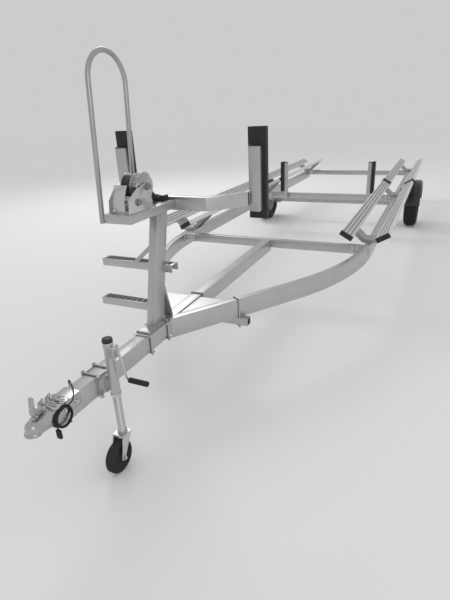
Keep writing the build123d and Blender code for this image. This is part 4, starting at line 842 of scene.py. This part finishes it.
def addTyres():
    middle = Vector(trailer["wheel"])
    half = tyre["section"]
    profile = [(-x, radius) for x, radius in reversed(half)] + list(half[1:]) + [(-half[-1][0], half[-1][1])]
    wedge = turned("tyreLeft", profile, middle, steps=3, sweep=360 / tyre["pitches"])
    step = 2 * math.pi / tyre["pitches"]

    def sipeFace(face):
        at = face.calc_center_median() - middle
        angle = abs(math.atan2(at.y, at.z))
        onRib = any(low < abs(at.x) < high for low, high in tyre["ribs"])
        return step / 3 < angle < 2 * step / 3 and at.yz.length > tyre["treadFrom"] and onRib

    # a pitch is three faces round, and the middle one is pressed in as a sipe
    shaped(wedge, "faces", sipeFace, (bpy.ops.mesh.inset, {**tyre["sipe"], "use_individual": False}))
    left = turnedAbout(wedge, "tyreLeftTreaded", tyre["pitches"], middle, "X")
    shaped(
        left, "verts", anything,
        (bpy.ops.mesh.remove_doubles, {"threshold": 0.00005}),
        (bpy.ops.mesh.normals_make_consistent, {"inside": False}),
    )
    # the section is symmetric, so the right tyre is the left one moved across
    right = twinOf(left, "tyreRightTreaded")
    right.location.x = -2 * middle.x
    finished(left, "wheel_left", "tyreLeft", ["tyre_left"], 28)
    finished(right, "wheel_right", "tyreRight", ["tyre_right"], 28)
    outwards, upwards = tyre["stemFoot"]
    for side, body, name in ((1, "wheel_left", "valveStemLeft"), (-1, "wheel_right", "valveStemRight")):
        foot = Vector((side * (middle.x + outwards), middle.y, middle.z + upwards))
        stem = turned(name, tyre["stem"], foot, (side, 0, 0), 16)
        finished(stem, body, "rubber")


# winch: nuts on its two shafts (left and right side plates) and the bolts in its base
winchBolts = {
    "shaftSize": 0.017, "sides": ((42, 1), (-105, -1)), "drum": (86, 797), "drive": (-12, 734),
    "baseSize": 0.010, "baseX": (-86, 24), "baseY": (-46, 130), "baseTop": 689,
}


def addWinchParts():
    for shaft, node in (("drum", "winch_drum"), ("drive", "winch_frame")):
        places = [((x, *winchBolts[shaft]), (side, 0, 0)) for x, side in winchBolts["sides"]]
        # the shaft nuts take the darker zinc copy, which is painted shade
        fitted(shaft + "ShaftNuts", fastener(winchBolts["shaftSize"]), places, node, "shaftNut")
    top = winchBolts["baseTop"]
    base = [((x, y, top), (0, 0, 1)) for x in winchBolts["baseX"] for y in winchBolts["baseY"]]
    fitted("winchBaseBolts", fastener(winchBolts["baseSize"]), base, "winch_frame")


# grit strips across the steps: ends, front and top of each step, in millimetres
stepGrips = {
    "steps": ((-435, -20, 145.2, 95), (-435, 65, 204.1, 331)),
    "pitch": 39,
    "width": 35,
    "inset": 9,
    "depth": 70,
    "sunk": 0.4,
    "thick": 1.1,
    "edge": 0.0006,
}


def addStepGrips():
    half, inset = stepGrips["width"] / 2, stepGrips["inset"]
    strips = []
    for rightEnd, leftEnd, front, top in stepGrips["steps"]:
        count = int((leftEnd - rightEnd - inset) / stepGrips["pitch"])
        start = (leftEnd + rightEnd - (count - 1) * stepGrips["pitch"]) / 2
        rear = front + stepGrips["depth"] - inset
        for index in range(count):
            middle = start + index * stepGrips["pitch"]
            strip = block(
                "strip", onFrame(middle - half, front + inset, top - stepGrips["sunk"]),
                onFrame(middle + half, rear, top + stepGrips["thick"]),
            )
            strips.append(rounded(strip, stepGrips["edge"], 2))
    finished(joined("stepGrips", strips), "trailer", "grit")


# weld beads, each run from one point to another in millimetres; the pad posts' have a side each
welds = {
    "radius": 0.0032,
    "pitch": 0.0036,
    "runs": [
        ((-27, 18.4, 9), (27, 18.4, 9)), ((-27, 124, 9), (27, 124, 9)),
        ((26, 18.4, 9), (26, 124, 9)), ((-26, 18.4, 9), (-26, 124, 9)),
        ((-25, 146, 94), (-25, 146, 60)), ((-25, 145.5, 95), (-20, 145.5, 95)),
        ((-25, 205, 330), (25, 205, 331)), ((25.5, 203, 328), (25.5, 196, 300)),
        ((-25.5, 203, 328), (-25.5, 196, 300)), ((-21, 137, 228), (21, 137, 228)),
    ],
    "padPostX": 424,
    "padPostRuns": (
        ((541, 626), (541, 699)), ((590, 626), (590, 699)), ((541, 625), (590, 625)), ((541, 700), (590, 700)),
    ),
}


def addWelds():
    runs = welds["runs"] + [
        ((side * welds["padPostX"], *low), (side * welds["padPostX"], *high))
        for side in (-1, 1) for low, high in welds["padPostRuns"]
    ]
    beads = []
    for start, end in runs:
        run = onFrame(*end) - onFrame(*start)
        bead = primitive("ico_sphere", "bead", subdivisions=2, radius=welds["radius"], location=onFrame(*start))
        modified(
            bead, "ARRAY", count=max(2, int(run.length / welds["pitch"]) + 1), use_relative_offset=False,
            use_constant_offset=True, constant_offset_displace=run.normalized() * welds["pitch"],
        )
        beads.append(bead)
    finished(joined("weldBeads", beads), "trailer", "plate", smooth=60)


# jack: its crank's grip, the bolt through the caster, the tube's collar and the screws of its gear housing;
# profiles and sizes in metres, places in millimetres
jackTrim = {
    "gripPlace": (170.5, -430, -30), "gripRadius": 0.0136, "gripGroove": 0.0126, "gripStart": 0.0128,
    "gripRings": 12, "ringPitch": 0.0082, "ringStart": 0.003, "ringEnd": 0.0075, "ringStep": 0.0085,
    "gripLip": 0.1035, "gripEnd": 0.1055, "gripTip": 0.106,
    "axleSize": 0.011, "nutPlace": (135, -515, -445), "headPlace": (69, -515, -445),
    "collar": ((0, 0.0206), (0, 0.0268), (0.014, 0.0268), (0.016, 0.0252), (0.016, 0.0206)),
    "collarPlace": (102, -460, -110),
    "screwSize": 0.006, "housing": (142, -460, 135), "screwY": 17, "screwZ": 25,
}


def addJackParts():
    radius, groove = jackTrim["gripRadius"], jackTrim["gripGroove"]
    profile = [(0, 0), (0, jackTrim["gripStart"])]
    for index in range(jackTrim["gripRings"]):
        start = index * jackTrim["ringPitch"]
        profile.append((jackTrim["ringStart"] + start, radius))
        profile.append((jackTrim["ringEnd"] + start, radius))
        profile.append((jackTrim["ringStep"] + start, groove))
    profile += [(jackTrim["gripLip"], radius), (jackTrim["gripEnd"], groove), (jackTrim["gripTip"], 0)]
    grip = turned("crankGrip", profile, onFrame(*jackTrim["gripPlace"]), steps=28)
    finished(grip, bodyOf["jack_crank"], "rubber")
    size = jackTrim["axleSize"]
    fitted("casterNut", fastener(size), [(jackTrim["nutPlace"], (1, 0, 0))], "jack_fork")
    fitted("casterBoltHead", fastener(size, False), [(jackTrim["headPlace"], (-1, 0, 0))], "jack_fork")
    collar = turned("jackCollar", jackTrim["collar"], onFrame(*jackTrim["collarPlace"]), (0, 0, 1))
    finished(collar, bodyOf["jack_tube"], "zinc")
    x, y, z = jackTrim["housing"]
    screws = [
        ((x, y + along * jackTrim["screwY"], z + up * jackTrim["screwZ"]), (1, 0, 0))
        for along in (-1, 1) for up in (-1, 1)
    ]
    fitted("gearboxScrews", fastener(jackTrim["screwSize"], False), screws, "jack_tube")


# coupler: pressed lip, through bolts, and the latch's pin and spring; profiles in metres, places in millimetres
couplerTrim = {
    "lip": (
        (0, 0.0325), (0, 0.0395), (0.0012, 0.0405), (0.0038, 0.0405), (0.0050, 0.0395), (0.0062, 0.0355),
        (0.0110, 0.0333), (0.0110, 0.0325),
    ),
    "lipPlace": (0, -867, -60), "lipRear": -858,
    "boltSize": 0.010, "frontBolt": (-745, -16.5), "rearBolt": (-650, -34), "side": 43, "hungSide": 61,
    "shank": ((0, 0), (0, 0.005), (0.028, 0.005), (0.0285, 0)), "shankStart": 42,
    "pinHalf": 19, "pinPlace": (-848, 13), "pinRadius": 0.0035,
    "spring": {
        "middle": (0, -797, 6), "radius": 6.5, "steps": 44, "stepAngle": 60, "rise": 0.42, "wire": 0.0009,
    },
}


def addCouplerParts():
    trim = couplerTrim
    lip = turned("couplerLip", trim["lip"], onFrame(*trim["lipPlace"]), (0, 0, 1), 48)
    rear = onFrame(0, trim["lipRear"], 0).y
    shaped(lip, "verts", lambda vertex: vertex.co.y > rear, (bpy.ops.mesh.delete, {"type": "VERT"}))
    finished(lip, "trailer", "coupler")
    size, side = trim["boltSize"], trim["side"]
    shank = turned("shank", trim["shank"], onFrame(trim["shankStart"], *trim["frontBolt"]), steps=16)
    nut = seated("nut", fastener(size), [((trim["hungSide"], *trim["frontBolt"]), (1, 0, 0))])
    head = seated("head", fastener(size, False), [((-side, *trim["frontBolt"]), (-1, 0, 0))])
    behind = seated("rear", fastener(size), pair(((side, *trim["rearBolt"]), (1, 0, 0))))
    finished(joined("couplerBolts", [shank, nut, head, behind]), "trailer", "zinc")
    ends = [onFrame(end * trim["pinHalf"], *trim["pinPlace"]) for end in (-1, 1)]
    pin = bentRod("pin", ends, trim["pinRadius"])
    spring = trim["spring"]
    x, y, z = spring["middle"]
    radius = spring["radius"]
    coil = []
    for index in range(spring["steps"]):
        angle = math.radians(index * spring["stepAngle"])
        height = z + index * spring["rise"]
        coil.append(onFrame(x + radius * math.cos(angle), y + radius * math.sin(angle), height))
    wound = bentRod("spring", coil, spring["wire"])
    finished(joined("latchPinAndSpring", [pin, wound]), "trailer", "zinc")


# a cable tie round the lead's coil, at the bottom where the turns part, with its lock; in metres
coilTie = {
    "angle": math.radians(-60), "radius": 0.0086, "width": 0.004, "thickness": 0.0012,
    "lockLow": (0.0082, -0.0025, -0.0025), "lockHigh": (0.0122, 0.0025, 0.0025), "edge": 0.0006,
}


def addCoilTie():
    x, y, z = wiring["coilMiddle"]
    radius, angle = wiring["coilRadius"], coilTie["angle"]
    middle = onFrame(x, y + radius * math.cos(angle), z + radius * math.sin(angle))
    tie = primitive(
        "cylinder", "coilTie", vertices=20, radius=coilTie["radius"], depth=coilTie["width"],
        end_fill_type="NOTHING", location=middle,
    )
    shaped(
        tie, "faces", anything,
        (bpy.ops.transform.rotate, {"value": -angle, "orient_axis": "X", "center_override": middle}),
    )
    modified(tie, "SOLIDIFY", thickness=coilTie["thickness"], offset=1)
    lock = block("lock", middle + Vector(coilTie["lockLow"]), middle + Vector(coilTie["lockHigh"]))
    rounded(lock, coilTie["edge"], 2)
    finished(joined("coilTie", [tie, lock]), "trailer", "blackPlastic")


# black sleeves over the boards' joints: a tube of the board's outline, tilted onto each one; in metres
sleeves = {"clearance": 0.001, "wall": 0.005, "length": 0.140, "edge": 0.004, "jointY": 1.475}


def addSleeves():
    margin = 2 * (sleeves["clearance"] + sleeves["wall"])
    size = Vector((board["width"] + margin, sleeves["length"], board["thickness"] + margin))
    model = block("sleeve", -size / 2, size / 2)
    shaped(
        model, "faces", lambda face: abs(face.normal.y) > 0.9,
        (bpy.ops.mesh.inset, {"thickness": sleeves["wall"]}),
        (bpy.ops.mesh.delete, {"type": "FACE"}),
    )
    rounded(model, sleeves["edge"], 3)
    # the middle of a board's section, from its rail and from the ground
    tilt, halfWidth, halfThickness = board["tilt"], board["width"] / 2, board["thickness"] / 2
    fromRail = board["gap"] + halfWidth * math.cos(tilt) + halfThickness * math.sin(tilt)
    height = board["lowEdge"] + halfWidth * math.sin(tilt) - halfThickness * math.cos(tilt)
    made = []
    for side in (-1, 1):
        for hand in (-1, 1):
            twin = twinOf(model)
            place = (side * (board["railX"] + hand * fromRail), sleeves["jointY"], height)
            twin.matrix_world = Matrix.Translation(place) @ Matrix.Rotation(-side * hand * tilt, 4, "Y")
            made.append(twin)
    bpy.data.objects.remove(model)
    finished(joined("boardSleeves", made), "trailer", "rubber")


# square caps in the open tops of the posts: x, y, top and half widths in millimetres
postCaps = {
    "posts": ((455, 566, 950, 32, 25.5), (573, 4414, 425, 25.5, 25.5)),
    "rim": 4, "inset": 0.006, "crown": 0.003, "edge": 0.0015, "edgeAngle": 15,
}


def addPostCaps():
    caps = []
    for x, y, top, halfX, halfY in postCaps["posts"]:
        for side in (-1, 1):
            low = onFrame(side * x - halfX, y - halfY, top)
            cap = block("cap", low, onFrame(side * x + halfX, y + halfY, top + postCaps["rim"]))
            shaped(
                cap, "faces", topFace,
                (bpy.ops.mesh.inset, {"thickness": postCaps["inset"]}),
                (bpy.ops.transform.translate, {"value": (0, 0, postCaps["crown"])}),
            )
            caps.append(rounded(cap, postCaps["edge"], 2, postCaps["edgeAngle"]))
    finished(joined("postCaps", caps), "trailer", "blackPlastic")


for addPart in (
    addFrameBolts, addAxleClamps, addTyres, addWinchParts, addStepGrips, addWelds,
    addJackParts, addCouplerParts, addCoilTie, addSleeves, addPostCaps,
):
    addPart()
    print(addPart.__name__, "done")


def addStage():
    # the floor looks white to the camera and in reflections, and lights the object as a grey one
    bpy.ops.object.select_all(action="DESELECT")
    bpy.ops.mesh.primitive_plane_add(size=stage["size"], location=(0, 0, 0))
    floor = bpy.context.object
    floor.name = "floor"
    paint = Finish("floorPaint", Roughness=0.9, Specular_IOR_Level=0.1)
    cameraRay = paint.node("ShaderNodeLightPath", {}, {}, "Is Camera Ray")
    seen = cameraRay.larger(cameraRay.sibling("Is Glossy Ray")).larger(cameraRay.sibling("Is Transmission Ray"))
    paint.drive(Base_Color=paint.mix(seen, stage["unseen"], stage["seen"]))
    floor.data.materials.append(paint.material)


def addWorld():
    # every ray meets the same grey, and the floor far off has it too
    world = bpy.data.worlds.new("studio")
    world.use_nodes = True
    background = world.node_tree.nodes["Background"]
    background.inputs["Color"].default_value = (1, 1, 1, 1)
    background.inputs["Strength"].default_value = lights["world"]
    bpy.context.scene.world = world


def addLight(name, place, aim, size, power):
    bpy.ops.object.light_add(type="AREA", location=place)
    lamp = bpy.context.object
    lamp.name = name + "Light"
    lamp.data.size = size
    lamp.data.energy = power
    direction = Vector(aim) - Vector(place)
    lamp.rotation_euler = direction.to_track_quat("-Z", "Y").to_euler()


def addCamera():
    forward = Vector(camera["forward"]).normalized()
    right = Vector(camera["right"]).normalized()
    up = right.cross(forward)
    data = bpy.data.cameras.new("view")
    data.sensor_fit = "VERTICAL"
    data.sensor_height = camera["sensorHeight"]
    data.lens = camera["focalPixels"] * camera["sensorHeight"] / camera["frameHeight"]
    data.clip_end = camera["farthest"]
    eye = bpy.data.objects.new("view", data)
    bpy.context.scene.collection.objects.link(eye)
    facing = Matrix((right, up, -forward)).transposed().to_4x4()
    eye.matrix_world = Matrix.Translation(Vector(camera["place"])) @ facing
    bpy.context.scene.camera = eye


addStage()
addWorld()
for lightName in ("key", "fill"):
    addLight(lightName, **lights[lightName])
addCamera()
bpy.context.scene.view_settings.view_transform = "Standard"
print("stage, lights and camera set")
